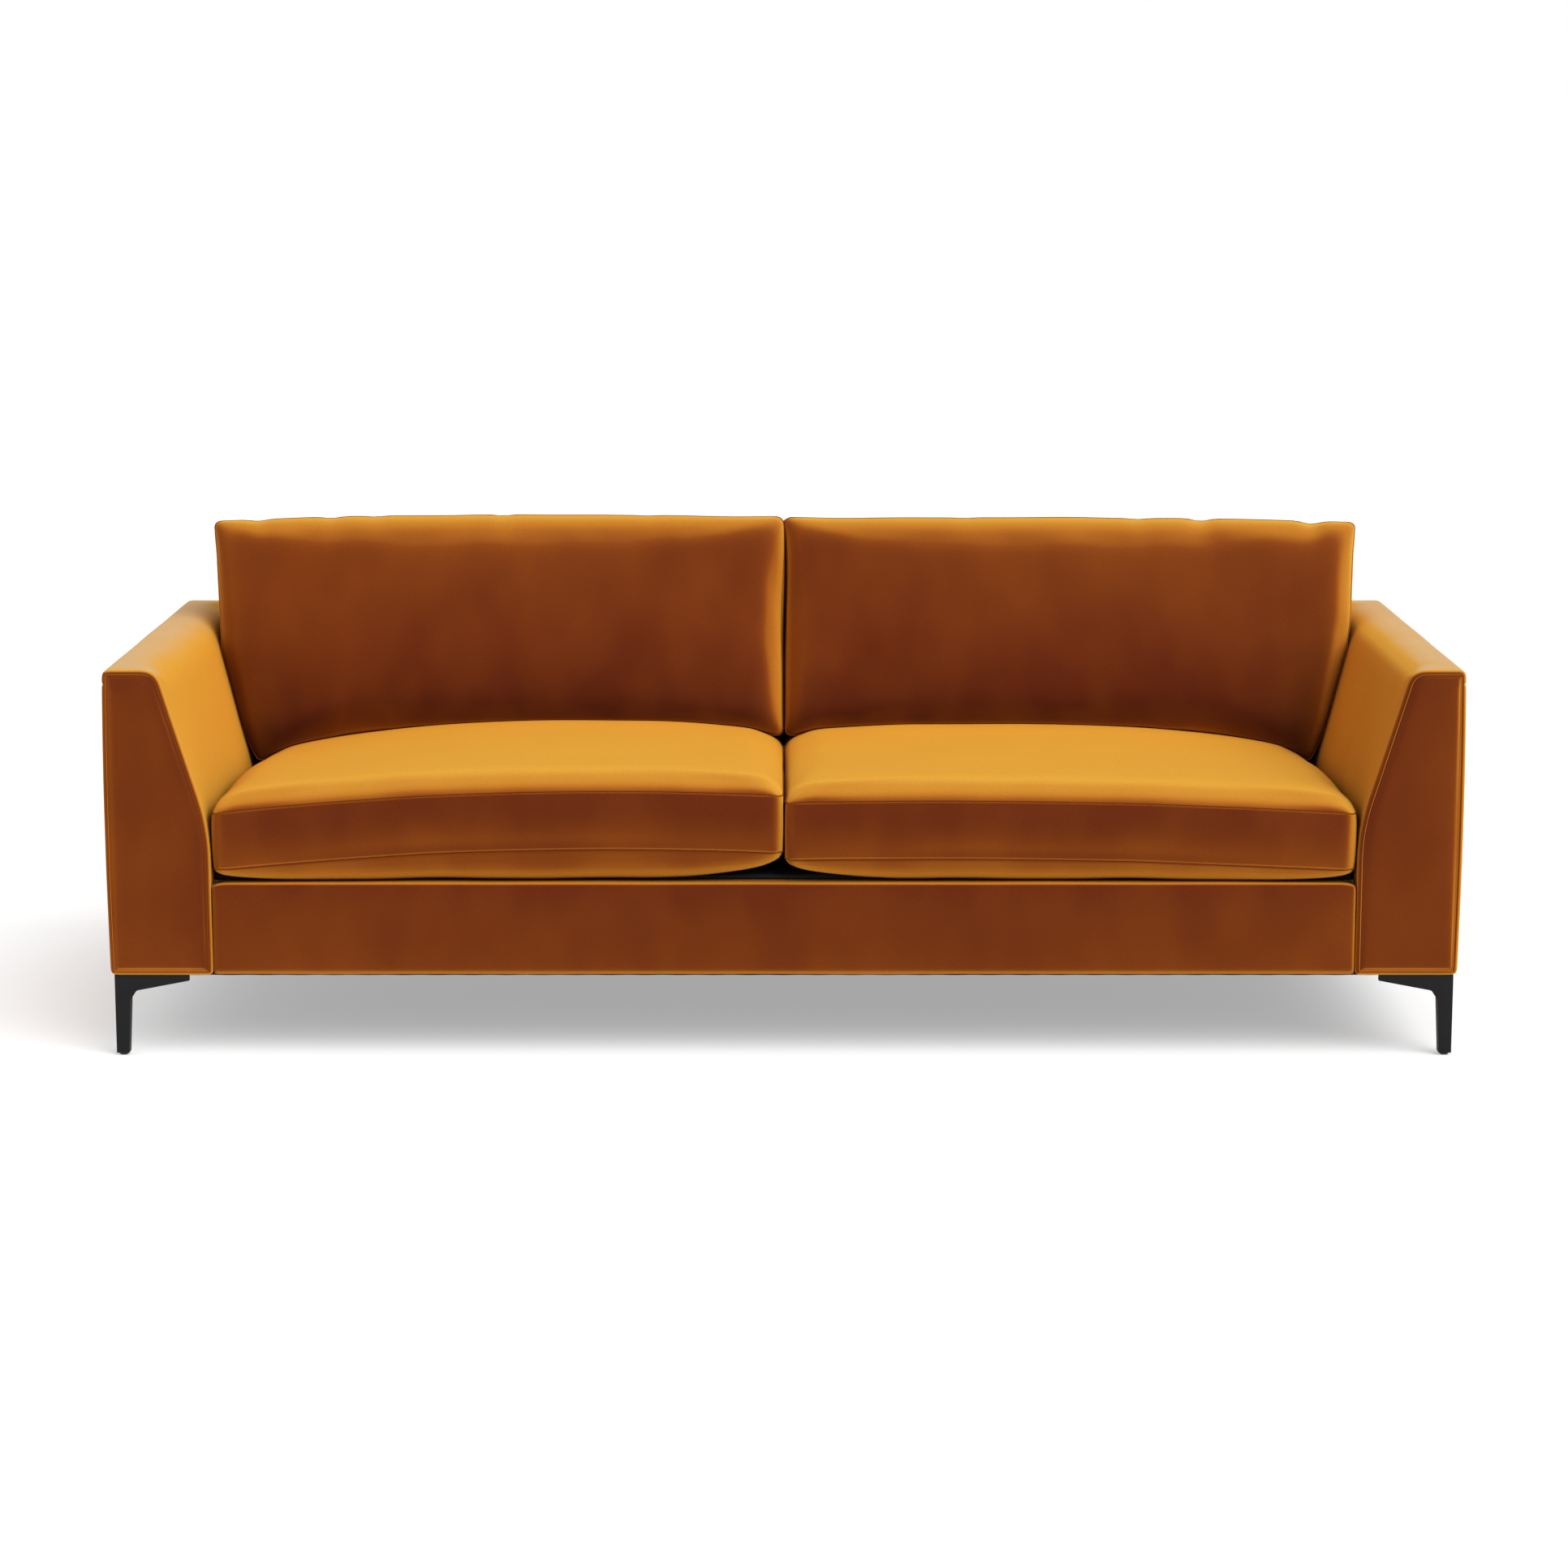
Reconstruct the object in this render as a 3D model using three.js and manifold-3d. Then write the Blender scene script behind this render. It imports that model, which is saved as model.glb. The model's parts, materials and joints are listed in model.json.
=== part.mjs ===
// A tuxedo sofa: arms and back of one height, two loose box seat cushions and two loose back cushions, on
// four cast metal corner legs. Millimetres, +Z up, the front faces -Y, and the origin is on the floor under
// the middle of the sofa. Left and right are as seen from the front.
import * as THREE from "three";
import { mergeVertices } from "three/addons/utils/BufferGeometryUtils.js";
import Module from "manifold-3d";

const wasm = await Module();
wasm.setup();

// Overall sizes
const overallWidth = 2260;
const overallDepth = 920;
const frameHeight = 656;
const floorClearance = 139;
const deckHeight = 304;

// Gaps between pieces
const fitGap = 0.3;
const seatSideGap = 5;
const cushionMiddleGap = 3;
const cutOverrun = 40;

// Arms and back: upright outside, and an inside that slants from a narrow top to a wide base
const armTopWidth = 90;
const armBaseWidth = 172;
const backTopDepth = 92;
const backBaseDepth = 170;
const shoulderHeight = 388;
const outerTopRadius = 12;
const innerTopRadius = 26;
const shoulderRadius = 90;
const padThickness = 14;
const panelEdgeRound = 7;

// Timber boards
const boardThickness = 18;
const armBaseBoardHeight = 22;
const armTopRailHeight = 30;
const railThickness = 28;
const battenThickness = 30;
const battenHeight = 45;
const stretcherWidth = 45;
const cornerBlockLeg = 75;
const cornerBlockHeight = 60;
const backRailHeight = 60;
const backPostWidth = 35;
const backPostInset = 70;

// Front border, deck and underside
const borderRadius = 16;
const deckThickness = 10;
const dustClothThickness = 1;
const dustClothInset = 12;
const dustClothLegGap = 6;

// Seat springs and back webbing
const wireDiameter = 4;
const springWidth = 48;
const springCrown = 22;
const springHalfWaves = 8;
const springsPerBank = 5;
const clipWidth = 18;
const clipLength = 22;
const clipHeight = 6;
const webbingWidth = 60;
const webbingThickness = 2;

// Seat cushions
const seatBorderHeight = 95;
const seatLowSeam = 17;
const seatCornerRadius = 24;
const seatDrawIn = 4;
const seatBorderBulge = 4;
const seatTopRoll = 14;
const seatTopCrown = 26;
const seatCore = { height: 108, sideWrap: 46, belowSeam: 5, round: 12 };
// How far the border climbs from the outer end towards the middle: a slope less a curve, by side.
const seatClimb = { left: { rise: 106, fall: 76 }, right: { rise: 56, fall: 38 } };

// Back cushions: the front seam starts above the deck and ahead of the back, and leans back
const backSeamHeight = 143;
const backSeamAhead = 180;
const backCushionLength = 403;
const backCushionLean = 18;
const backBottomLean = 4;
const backGusset = 160;
const backOuterGapBottom = 20;
const backOuterGapTop = 1;
const backCornerRadius = 22;
const backSideDrawIn = 4;
const backTopRise = 9;
const backBorderBulge = 6;
const backRoll = 24;
const backCrown = 18;
const backRearRoll = 24;
const backRearCrown = 14;
const backSeatGap = 0.8;
const backCore = { thickness: 120, sideWrap: 60, bottomWrap: 95, topWrap: 45, round: 14 };
const zipSlot = { height: 8, endMargin: 120 };

// Legs: a tapered post in the outer corner with a wing along each side
const legInset = 6;
const legWingLength = 125;
const legWingThickness = 9;
const legTipHeight = 10;
const legRootHeight = 27;
const legRootReach = 36;
const legPostTop = 25;
const legPostFoot = 21;
const legFilletHeight = 17;
const legPlateThickness = 5;
const glide = { padRadius: 7, padHeight: 4, stemRadius: 3.2, stemLength: 14, edge: 1 };
const screw = { headRadius: 5, headHeight: 3, shankRadius: 2.3, length: 22 };
const screwFromWing = 9;
const screwFromTip = 30;

// Places that follow from the sizes above
const halfWidth = overallWidth / 2;
const front = -overallDepth / 2;
const rear = overallDepth / 2;
const innerHalf = halfWidth - armBaseWidth;
const backInner = rear - backBaseDepth;
const deckBottom = deckHeight - deckThickness;
const boardInset = padThickness + fitGap;

const material = (colour, roughness, metalness = 0) =>
  new THREE.MeshStandardMaterial({ color: colour, roughness, metalness });
const velvet = material("#a85a1c", 0.85);
const timber = material("#b98f5c", 0.7);
const springSteel = material("#6d7075", 0.4, 1);
const blackMetal = material("#1d1d1f", 0.5, 1);
const nylon = material("#161616", 0.6);
const foam = material("#e9dfb8", 0.95);
const felt = material("#2a2a2c", 0.95);
const webbing = material("#9c8a66", 0.9);
const zincSteel = material("#8d9096", 0.35, 1);

// A closed geometry as a solid that can be joined and cut, and back again
function solidOf(geometry) {
  const bare = geometry.index ? geometry.toNonIndexed() : geometry.clone();
  bare.deleteAttribute("normal");
  bare.deleteAttribute("uv");
  const merged = mergeVertices(bare, 1e-3);
  return new wasm.Manifold(
    new wasm.Mesh({
      numProp: 3,
      vertProperties: new Float32Array(merged.attributes.position.array),
      triVerts: new Uint32Array(merged.index.array),
    }),
  );
}

function geometryOf(solid) {
  const { numProp, numVert, vertProperties, triVerts } = solid.getMesh();
  const position = new Float32Array(numVert * 3);
  for (let i = 0; i < numVert; i++) {
    position.set(vertProperties.subarray(i * numProp, i * numProp + 3), i * 3);
  }
  const geometry = new THREE.BufferGeometry();
  geometry.setAttribute("position", new THREE.BufferAttribute(position, 3));
  geometry.setIndex(new THREE.BufferAttribute(new Uint32Array(triVerts), 1));
  geometry.computeVertexNormals();
  return geometry;
}

function piece(name, shape, finish) {
  const geometry = shape.isBufferGeometry ? shape : geometryOf(shape);
  const mesh = new THREE.Mesh(geometry, finish);
  mesh.name = name;
  return mesh;
}

function boxPiece(name, [x0, x1], [y0, y1], [z0, z1], finish) {
  const mesh = piece(name, new THREE.BoxGeometry(x1 - x0, y1 - y0, z1 - z0), finish);
  mesh.position.set((x0 + x1) / 2, (y0 + y1) / 2, (z0 + z1) / 2);
  return mesh;
}

// An outline with some of its corners rounded
function roundedShape(points, radii = []) {
  const shape = new THREE.Shape();
  points.forEach(([x, y], i) => {
    const corner = new THREE.Vector2(x, y);
    const before = new THREE.Vector2(...points.at(i - 1)).sub(corner);
    const after = new THREE.Vector2(...points[(i + 1) % points.length]).sub(corner);
    const radius = radii[i] ?? 0;
    const reach = radius / Math.tan(Math.acos(before.clone().normalize().dot(after.clone().normalize())) / 2);
    const start = corner.clone().add(before.setLength(reach));
    const end = corner.clone().add(after.setLength(reach));
    if (i === 0) {
      shape.moveTo(start.x, start.y);
    } else {
      shape.lineTo(start.x, start.y);
    }
    if (radius > 0) {
      shape.quadraticCurveTo(x, y, end.x, end.y);
    }
  });
  shape.closePath();
  return shape;
}

const axisX = new THREE.Vector3(1, 0, 0);
const axisY = new THREE.Vector3(0, 1, 0);
const axisZ = new THREE.Vector3(0, 0, 1);

// A shape pushed along one axis between two places, with its end edges rounded if asked
function prism(shape, from, to, basis, round = 0) {
  const geometry = new THREE.ExtrudeGeometry(shape, {
    depth: to - from - 2 * round,
    curveSegments: 5,
    bevelEnabled: round > 0,
    bevelThickness: round,
    bevelSize: round,
    bevelOffset: -round,
    bevelSegments: 2,
  });
  geometry.translate(0, 0, from + round);
  return geometry.applyMatrix4(new THREE.Matrix4().makeBasis(...basis));
}
const alongX = (shape, x0, x1, round) => prism(shape, x0, x1, [axisY, axisZ, axisX], round);
const alongY = (shape, y0, y1, round) =>
  prism(shape, -y1, -y0, [axisX, axisZ, axisY.clone().negate()], round);
const alongZ = (shape, z0, z1, round) => prism(shape, z0, z1, [axisX, axisY, axisZ], round);

// Arms and back share one form of section. Its inner side at a height, measured out from the middle:
function innerSide({ outer, topWidth, baseWidth }, height, inset = 0) {
  const slope = (baseWidth - topWidth) / (frameHeight - shoulderHeight);
  const slanted = outer - baseWidth + slope * (height - shoulderHeight) + inset * Math.hypot(1, slope);
  return Math.max(outer - baseWidth + inset, slanted);
}
const armSection = { outer: halfWidth, topWidth: armTopWidth, baseWidth: armBaseWidth };
const backSection = { outer: rear, topWidth: backTopDepth, baseWidth: backBaseDepth };

function shoulderOf({ topWidth, baseWidth }, inset) {
  const slope = (baseWidth - topWidth) / (frameHeight - shoulderHeight);
  return shoulderHeight - (inset * (Math.hypot(1, slope) - 1)) / slope;
}

// The outline of such a section, drawn in by an inset, between two heights
function sectionOutline(section, inset, bottom, top = frameHeight - inset) {
  const points = [
    [section.outer - inset, bottom],
    [section.outer - inset, top],
    [innerSide(section, top, inset), top],
  ];
  const shoulder = shoulderOf(section, inset);
  if (bottom < shoulder && shoulder < top) {
    points.push([section.outer - section.baseWidth + inset, shoulder]);
  }
  points.push([innerSide(section, bottom, inset), bottom]);
  return points;
}
const sectionRadii = [0, outerTopRadius, innerTopRadius, shoulderRadius, 0];

// The space between the arms, as an outline that follows their inner sides
function betweenArms(inset, bottom, top) {
  const side = sectionOutline(armSection, -inset, bottom, top).slice(2);
  return new THREE.Shape([...side, ...side.map(([x, z]) => [-x, z]).reverse()].map(([x, z]) => new THREE.Vector2(x, z)));
}

// Cushion form: rings of a rounded rectangle, growing from the middle of one face to its seam, across the
// border and back to the middle of the other face. place() puts each point where it belongs.
const faceShares = [0.35, 0.6, 0.8, 0.92, 0.98];
const borderShares = [0.25, 0.5, 0.75];
const rollPower = { face: 7, under: 4 };
const sidePoints = 8;
const cornerPoints = 3;

function cushionRing({ halfX, halfY, corner, drawIn }, grow) {
  const ring = [];
  const ends = [[1, -1], [1, 1], [-1, 1], [-1, -1]];
  ends.forEach(([sx, sy], side) => {
    const centre = new THREE.Vector2(sx * (halfX - corner), sy * (halfY - corner));
    const startAngle = ((side - 1) * Math.PI) / 2;
    for (let i = 0; i <= cornerPoints; i++) {
      const angle = startAngle + (i / cornerPoints) * (Math.PI / 2);
      ring.push([centre.x + (corner + grow) * Math.cos(angle), centre.y + (corner + grow) * Math.sin(angle)]);
    }
    const [nx, ny] = ends[(side + 1) % ends.length];
    const last = ring.at(-1);
    const normal = [Math.cos(startAngle + Math.PI / 2), Math.sin(startAngle + Math.PI / 2)];
    const run = nx !== sx ? 2 * (halfX - corner) : 2 * (halfY - corner);
    for (let i = 1; i < sidePoints; i++) {
      const share = i / sidePoints;
      const pull = drawIn[side % 2] * 4 * share * (1 - share);
      ring.push([
        last[0] + ((nx - sx) / 2) * run * share - normal[0] * pull,
        last[1] + ((ny - sy) / 2) * run * share - normal[1] * pull,
      ]);
    }
  });
  return ring;
}

const scaledRing = (ring, share) => ring.map(([x, y]) => [x * share, y * share]);

function cushionGeometry(size, place) {
  const roll = (part, share) => Math.sqrt(1 - share ** rollPower[part]);
  const crown = (x, y) => (1 - (x / size.halfX) ** 2) * (1 - (y / size.halfY) ** 2);
  const edge = cushionRing(size, 0);
  const rings = [[[0, 0, "face", 1, 1]]];
  for (const share of faceShares) {
    rings.push(scaledRing(edge, share).map(([x, y]) => [x, y, "face", roll("face", share), crown(x, y)]));
  }
  rings.push(edge.map(([x, y]) => [x, y, "face", 0, 0]));
  for (const share of borderShares) {
    const grow = size.bulge * 4 * share * (1 - share);
    rings.push(cushionRing(size, grow).map(([x, y]) => [x, y, "border", share, 0]));
  }
  rings.push(edge.map(([x, y]) => [x, y, "under", 0, 0]));
  for (const share of faceShares.toReversed()) {
    rings.push(scaledRing(edge, share).map(([x, y]) => [x, y, "under", roll("under", share), crown(x, y)]));
  }
  rings.push([[0, 0, "under", 1, 1]]);

  const position = [];
  const starts = rings.map((ring) => {
    const start = position.length / 3;
    for (const [x, y, part, a, b] of ring) {
      position.push(...place(x, y, part, a, b));
    }
    return start;
  });
  const faces = [];
  const count = edge.length;
  for (let k = 0; k + 1 < rings.length; k++) {
    const [upper, lower] = [starts[k], starts[k + 1]];
    for (let i = 0; i < count; i++) {
      const j = (i + 1) % count;
      if (rings[k].length === 1) {
        faces.push(upper, lower + i, lower + j);
      } else if (rings[k + 1].length === 1) {
        faces.push(upper + i, lower, upper + j);
      } else {
        faces.push(upper + i, lower + i, lower + j, upper + i, lower + j, upper + j);
      }
    }
  }
  const geometry = new THREE.BufferGeometry();
  geometry.setAttribute("position", new THREE.Float32BufferAttribute(position, 3));
  geometry.setIndex(faces);
  geometry.computeVertexNormals();
  return geometry;
}

function roundedBlock([x0, x1], [y0, y1], [z0, z1], round) {
  const outline = roundedShape([[x0, y0], [x1, y0], [x1, y1], [x0, y1]], [round, round, round, round]);
  return alongZ(outline, z0, z1, round / 2);
}

// Base: a box of rails between the arms, with the spring battens inside it
const frontRailFace = front + boardInset;
const frontRailBack = frontRailFace + railThickness;
const backRailFace = backInner - fitGap - railThickness;
const baseHalf = innerHalf - fitGap;
const sideRailFace = baseHalf - railThickness;
const springEnd = deckBottom - fitGap - wireDiameter / 2 - springCrown;
const battenTop = springEnd - clipHeight / 2 - fitGap;

function makeBase() {
  const group = new THREE.Group();
  const railTop = deckBottom - fitGap;
  const across = [-baseHalf, baseHalf];
  const inside = [-sideRailFace + fitGap, sideRailFace - fitGap];
  const battenHeights = [battenTop - battenHeight, battenTop];
  group.add(
    boxPiece("base_front_rail", across, [frontRailFace, frontRailBack],
      [floorClearance, deckHeight - padThickness - fitGap], timber),
    boxPiece("base_back_rail", across, [backRailFace, backRailFace + railThickness], [floorClearance, railTop], timber),
    boxPiece("spring_batten_front", inside, [frontRailBack + fitGap, frontRailBack + battenThickness],
      battenHeights, timber),
    boxPiece("spring_batten_back", inside, [backRailFace - battenThickness, backRailFace - fitGap],
      battenHeights, timber),
    boxPiece("base_centre_stretcher", [-stretcherWidth / 2, stretcherWidth / 2],
      [frontRailBack + battenThickness + fitGap, backRailFace - battenThickness - fitGap],
      [floorClearance, battenTop], timber),
  );
  for (const [side, sign] of [["left", -1], ["right", 1]]) {
    const half = new THREE.Group();
    half.scale.x = sign;
    half.add(boxPiece(`base_side_rail_${side}`, [sideRailFace, baseHalf],
      [frontRailBack + fitGap, backRailFace - fitGap], [floorClearance, railTop], timber));
    for (const [end, y, turn] of [["front", frontRailBack + fitGap, 1], ["back", backRailFace - fitGap, -1]]) {
      const x = sideRailFace - fitGap;
      const triangle = [[x, y], [x, y + turn * cornerBlockLeg], [x - cornerBlockLeg, y]];
      half.add(piece(`corner_block_${end}_${side}`,
        alongZ(roundedShape(triangle), floorClearance, floorClearance + cornerBlockHeight), timber));
    }
    group.add(half);
  }
  return group;
}

// The padded velvet over the front rail, with rounded top corners
function makeFrontBorder() {
  const outline = [
    [front, floorClearance],
    [front, deckHeight],
    [frontRailBack, deckHeight],
    [frontRailBack, deckHeight - padThickness],
    [front + padThickness, deckHeight - padThickness],
    [front + padThickness, floorClearance],
  ].reverse();
  const bend = solidOf(alongX(roundedShape(outline, [0, 0, 0, 0, borderRadius, 0]), -baseHalf, baseHalf));
  const frame = [
    [-baseHalf, floorClearance], [baseHalf, floorClearance], [baseHalf, deckHeight], [-baseHalf, deckHeight],
  ];
  const ends = solidOf(alongY(roundedShape(frame, [0, 0, borderRadius, borderRadius]), front, frontRailBack));
  return piece("front_border_cover", bend.intersect(ends), velvet);
}

function makeDeck() {
  return boxPiece("seat_deck", [-baseHalf, baseHalf], [frontRailBack + fitGap, backInner - fitGap],
    [deckBottom, deckHeight], felt);
}

function makeDustCloth() {
  const x = halfWidth - dustClothInset;
  const y0 = front + dustClothInset;
  const y1 = rear - dustClothInset;
  const cut = legInset + legWingLength + dustClothLegGap;
  const [cutX, cutFront, cutRear] = [halfWidth - cut, front + cut, rear - cut];
  const outline = [
    [-cutX, y0], [cutX, y0], [cutX, cutFront], [x, cutFront], [x, cutRear], [cutX, cutRear],
    [cutX, y1], [-cutX, y1], [-cutX, cutRear], [-x, cutRear], [-x, cutFront], [-cutX, cutFront],
  ];
  const top = floorClearance - fitGap;
  return piece("dust_cloth", alongZ(roundedShape(outline), top - dustClothThickness, top), felt);
}

// Sinuous springs run front to back, each held by a clip at both ends, and two wires tie a bank together
function wireTube(points, steps) {
  const sides = 4;
  const section = Array.from({ length: sides }, (_, i) => {
    const angle = (i * 2 * Math.PI) / sides;
    return new THREE.Vector2(Math.cos(angle), Math.sin(angle)).multiplyScalar(wireDiameter / 2);
  });
  const path = new THREE.CatmullRomCurve3(points, false, "centripetal");
  return new THREE.ExtrudeGeometry(new THREE.Shape(section), { steps, extrudePath: path, bevelEnabled: false });
}

function makeSpringBank(side, sign) {
  const start = frontRailBack + battenThickness / 2;
  const end = backRailFace - battenThickness / 2;
  const length = end - start;
  const height = (y) => springEnd + springCrown * (1 - ((2 * (y - start)) / length - 1) ** 2);
  const pitch = (sideRailFace - stretcherWidth / 2) / springsPerBank;
  const centre = (i) => stretcherWidth / 2 + pitch * (i + 1 / 2);
  const wave = length / (springHalfWaves + 2);
  const at = (x, y) => new THREE.Vector3(x, y, height(y));
  let bank = null;
  const join = (geometry) => {
    bank = bank ? bank.add(solidOf(geometry)) : solidOf(geometry);
  };
  for (let i = 0; i < springsPerBank; i++) {
    const x = centre(i);
    const points = [at(x, start), at(x, start + wave / 2)];
    for (let k = 0; k < springHalfWaves; k++) {
      const reach = ((k % 2 ? -1 : 1) * (springWidth - wireDiameter)) / 2;
      points.push(at(x + reach, start + wave * (k + 5 / 4)), at(x + reach, start + wave * (k + 7 / 4)));
    }
    points.push(at(x, end - wave / 2), at(x, end));
    join(wireTube(points, 3 * springHalfWaves + 2));
    for (const y of [start, end]) {
      join(new THREE.BoxGeometry(clipWidth, clipLength, clipHeight).translate(x, y, springEnd));
    }
  }
  for (const share of [1 / 3, 2 / 3]) {
    const y = start + length * share;
    const overhang = springWidth / 2;
    join(wireTube([at(centre(0) - overhang, y), at(centre(springsPerBank - 1) + overhang, y)], 1));
  }
  const group = new THREE.Group();
  group.scale.x = sign;
  group.add(piece(`seat_spring_bank_${side}`, bank, springSteel));
  return group;
}

// A leg's mounting screws, seen from its outer corner
const screwPlaces = [
  [legWingLength - screwFromTip, legWingThickness + screwFromWing],
  [legWingThickness + screwFromWing, legWingLength - screwFromTip],
];
const legTop = floorClearance - fitGap;

function cylinderAt(radius, x, y, z0, z1, sides = 12) {
  return new THREE.CylinderGeometry(radius, radius, z1 - z0, sides)
    .rotateX(Math.PI / 2)
    .translate(x, y, (z0 + z1) / 2);
}

// Arms: a board at each end, a rail under the top and a base board that the legs are screwed to
function makeArm(side, sign) {
  const group = new THREE.Group();
  group.scale.x = sign;
  const ends = [front + boardInset, rear - boardInset];
  const baseTop = floorClearance + armBaseBoardHeight;
  const boardOutline = roundedShape(sectionOutline(armSection, boardInset, baseTop + fitGap));
  const topRailBottom = frameHeight - boardInset - armTopRailHeight;
  const topRailOutline = roundedShape(sectionOutline(armSection, boardInset, topRailBottom));

  let baseBoard = solidOf(alongY(roundedShape([
    [innerHalf + boardInset, floorClearance],
    [halfWidth - boardInset, floorClearance],
    [halfWidth - boardInset, baseTop],
    [innerHalf + boardInset, baseTop],
  ]), ...ends));
  for (const end of [-1, 1]) {
    for (const [fromSide, fromEnd] of screwPlaces) {
      const hole = cylinderAt(screw.shankRadius + fitGap, halfWidth - legInset - fromSide,
        end * (rear - legInset - fromEnd), floorClearance - cutOverrun,
        legTop - legPlateThickness + screw.length + fitGap);
      baseBoard = baseBoard.subtract(solidOf(hole));
    }
  }
  const outside = solidOf(alongY(
    roundedShape(sectionOutline(armSection, 0, floorClearance), sectionRadii), front, rear, panelEdgeRound));
  const inside = solidOf(alongY(
    roundedShape(sectionOutline(armSection, padThickness, floorClearance - cutOverrun, frameHeight - padThickness)),
    front + padThickness, rear - padThickness));
  group.add(
    piece(`arm_cover_${side}`, outside.subtract(inside), velvet),
    piece(`arm_front_board_${side}`, alongY(boardOutline, ends[0], ends[0] + boardThickness), timber),
    piece(`arm_rear_board_${side}`, alongY(boardOutline, ends[1] - boardThickness, ends[1]), timber),
    piece(`arm_top_rail_${side}`,
      alongY(topRailOutline, ends[0] + boardThickness + fitGap, ends[1] - boardThickness - fitGap), timber),
    piece(`arm_base_board_${side}`, baseBoard, timber),
  );
  return group;
}

// Back: rails, posts and webbing in a padded cover that fits between the arms
function makeBack() {
  const group = new THREE.Group();
  const reach = halfWidth;
  const frameInset = padThickness + webbingThickness + 2 * fitGap;
  const trimmed = (shape, inset) =>
    solidOf(alongX(shape, -reach, reach)).intersect(solidOf(alongY(
      betweenArms(inset, floorClearance - cutOverrun - fitGap, frameHeight + cutOverrun), front, rear + cutOverrun)));
  const outside = trimmed(roundedShape(sectionOutline(backSection, 0, floorClearance), sectionRadii), fitGap);
  const inside = trimmed(
    roundedShape(sectionOutline(backSection, padThickness, floorClearance - cutOverrun, frameHeight - padThickness)),
    fitGap + padThickness);
  const bottomRailTop = floorClearance + backRailHeight;
  const topRailBottom = frameHeight - frameInset - backRailHeight;
  const frameEnds = 2 * fitGap + padThickness;
  group.add(
    piece("back_cover", outside.subtract(inside), velvet),
    piece("back_bottom_rail",
      trimmed(roundedShape(sectionOutline(backSection, frameInset, floorClearance, bottomRailTop)), frameEnds), timber),
    piece("back_top_rail",
      trimmed(roundedShape(sectionOutline(backSection, frameInset, topRailBottom)), frameEnds), timber),
  );
  const postOutline = roundedShape(
    sectionOutline(backSection, frameInset, bottomRailTop + fitGap, topRailBottom - fitGap));
  const postReach = innerHalf - backPostInset - backPostWidth / 2;
  for (const [place, x] of [["left", -postReach], ["centre", 0], ["right", postReach]]) {
    group.add(piece(`back_post_${place}`, alongX(postOutline, x - backPostWidth / 2, x + backPostWidth / 2), timber));
  }
  // Each strap lies on the front edges of both rails, just behind the padding
  const strapTop = topRailBottom + backRailHeight / 2;
  const strapBottom = floorClearance + backRailHeight / 2;
  const face = (inset) => [
    [innerSide(backSection, strapBottom, inset), strapBottom],
    [innerSide(backSection, shoulderOf(backSection, inset), inset), shoulderOf(backSection, inset)],
    [innerSide(backSection, strapTop, inset), strapTop],
  ];
  const strap = roundedShape([...face(boardInset + webbingThickness), ...face(boardInset).reverse()]);
  const strapShares = [-3 / 4, -1 / 4, 1 / 4, 3 / 4];
  strapShares.forEach((share, i) => {
    const x = share * postReach;
    group.add(piece(`back_webbing_${i + 1}`, alongX(strap, x - webbingWidth / 2, x + webbingWidth / 2), webbing));
  });
  return group;
}

// Seat cushion: the border climbs from the arm towards the middle of the sofa, and the faces bulge from it
const seatHalfX = (innerHalf - seatSideGap - cushionMiddleGap) / 2 - seatBorderBulge;
const seatHalfY = (backInner - fitGap - front) / 2 - seatBorderBulge;
const seatCentreX = cushionMiddleGap + seatBorderBulge + seatHalfX;
const seatCentreY = front + seatBorderBulge + seatHalfY;

function lowSeamHeight(side, x) {
  const { rise, fall } = seatClimb[side];
  const fromArm = (seatHalfX - x) / (2 * seatHalfX);
  return deckHeight + fitGap + seatLowSeam + rise * fromArm - fall * fromArm ** 2;
}

function seatCushionSolid(side) {
  const bottom = deckHeight + fitGap;
  const place = (x, y, part, a, b) => {
    const lowSeam = lowSeamHeight(side, x);
    const heights = {
      face: lowSeam + seatBorderHeight + seatTopRoll * a + seatTopCrown * b,
      border: lowSeam + seatBorderHeight * (1 - a),
      under: lowSeam - (lowSeam - bottom) * a,
    };
    return [seatCentreX + x, seatCentreY + y, heights[part]];
  };
  return solidOf(cushionGeometry({
    halfX: seatHalfX, halfY: seatHalfY, corner: seatCornerRadius, drawIn: [seatDrawIn, seatDrawIn],
    bulge: seatBorderBulge,
  }, place));
}

// The foam core tilts with the border, so the cover is as thick over its outer end as over its inner one
function makeSeatCushion(side, sign) {
  const group = new THREE.Group();
  group.scale.x = sign;
  const { height, sideWrap, belowSeam, round } = seatCore;
  const reachX = seatHalfX + seatBorderBulge - sideWrap;
  const reachY = seatHalfY + seatBorderBulge - sideWrap;
  const ends = [lowSeamHeight(side, -seatHalfX), lowSeamHeight(side, seatHalfX)];
  const tilt = Math.atan2(ends[0] - ends[1], 2 * seatHalfX);
  const laid = (geometry) =>
    geometry.rotateY(tilt).translate(seatCentreX, seatCentreY, (ends[0] + ends[1]) / 2 - belowSeam);
  const blockOf = (gap) => laid(roundedBlock(
    [-reachX - gap, reachX + gap], [-reachY - gap, reachY + gap], [-gap, height + gap], round));
  const slot = laid(new THREE.BoxGeometry(2 * (reachX - zipSlot.endMargin), 2 * sideWrap, zipSlot.height)
    .translate(0, reachY + sideWrap, height / 2));
  const room = solidOf(blockOf(fitGap)).add(solidOf(slot));
  group.add(
    piece(`seat_cushion_cover_${side}`, seatCushionSolid(side).subtract(room), velvet),
    piece(`seat_cushion_core_${side}`, blockOf(0), foam),
  );
  return group;
}

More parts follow.
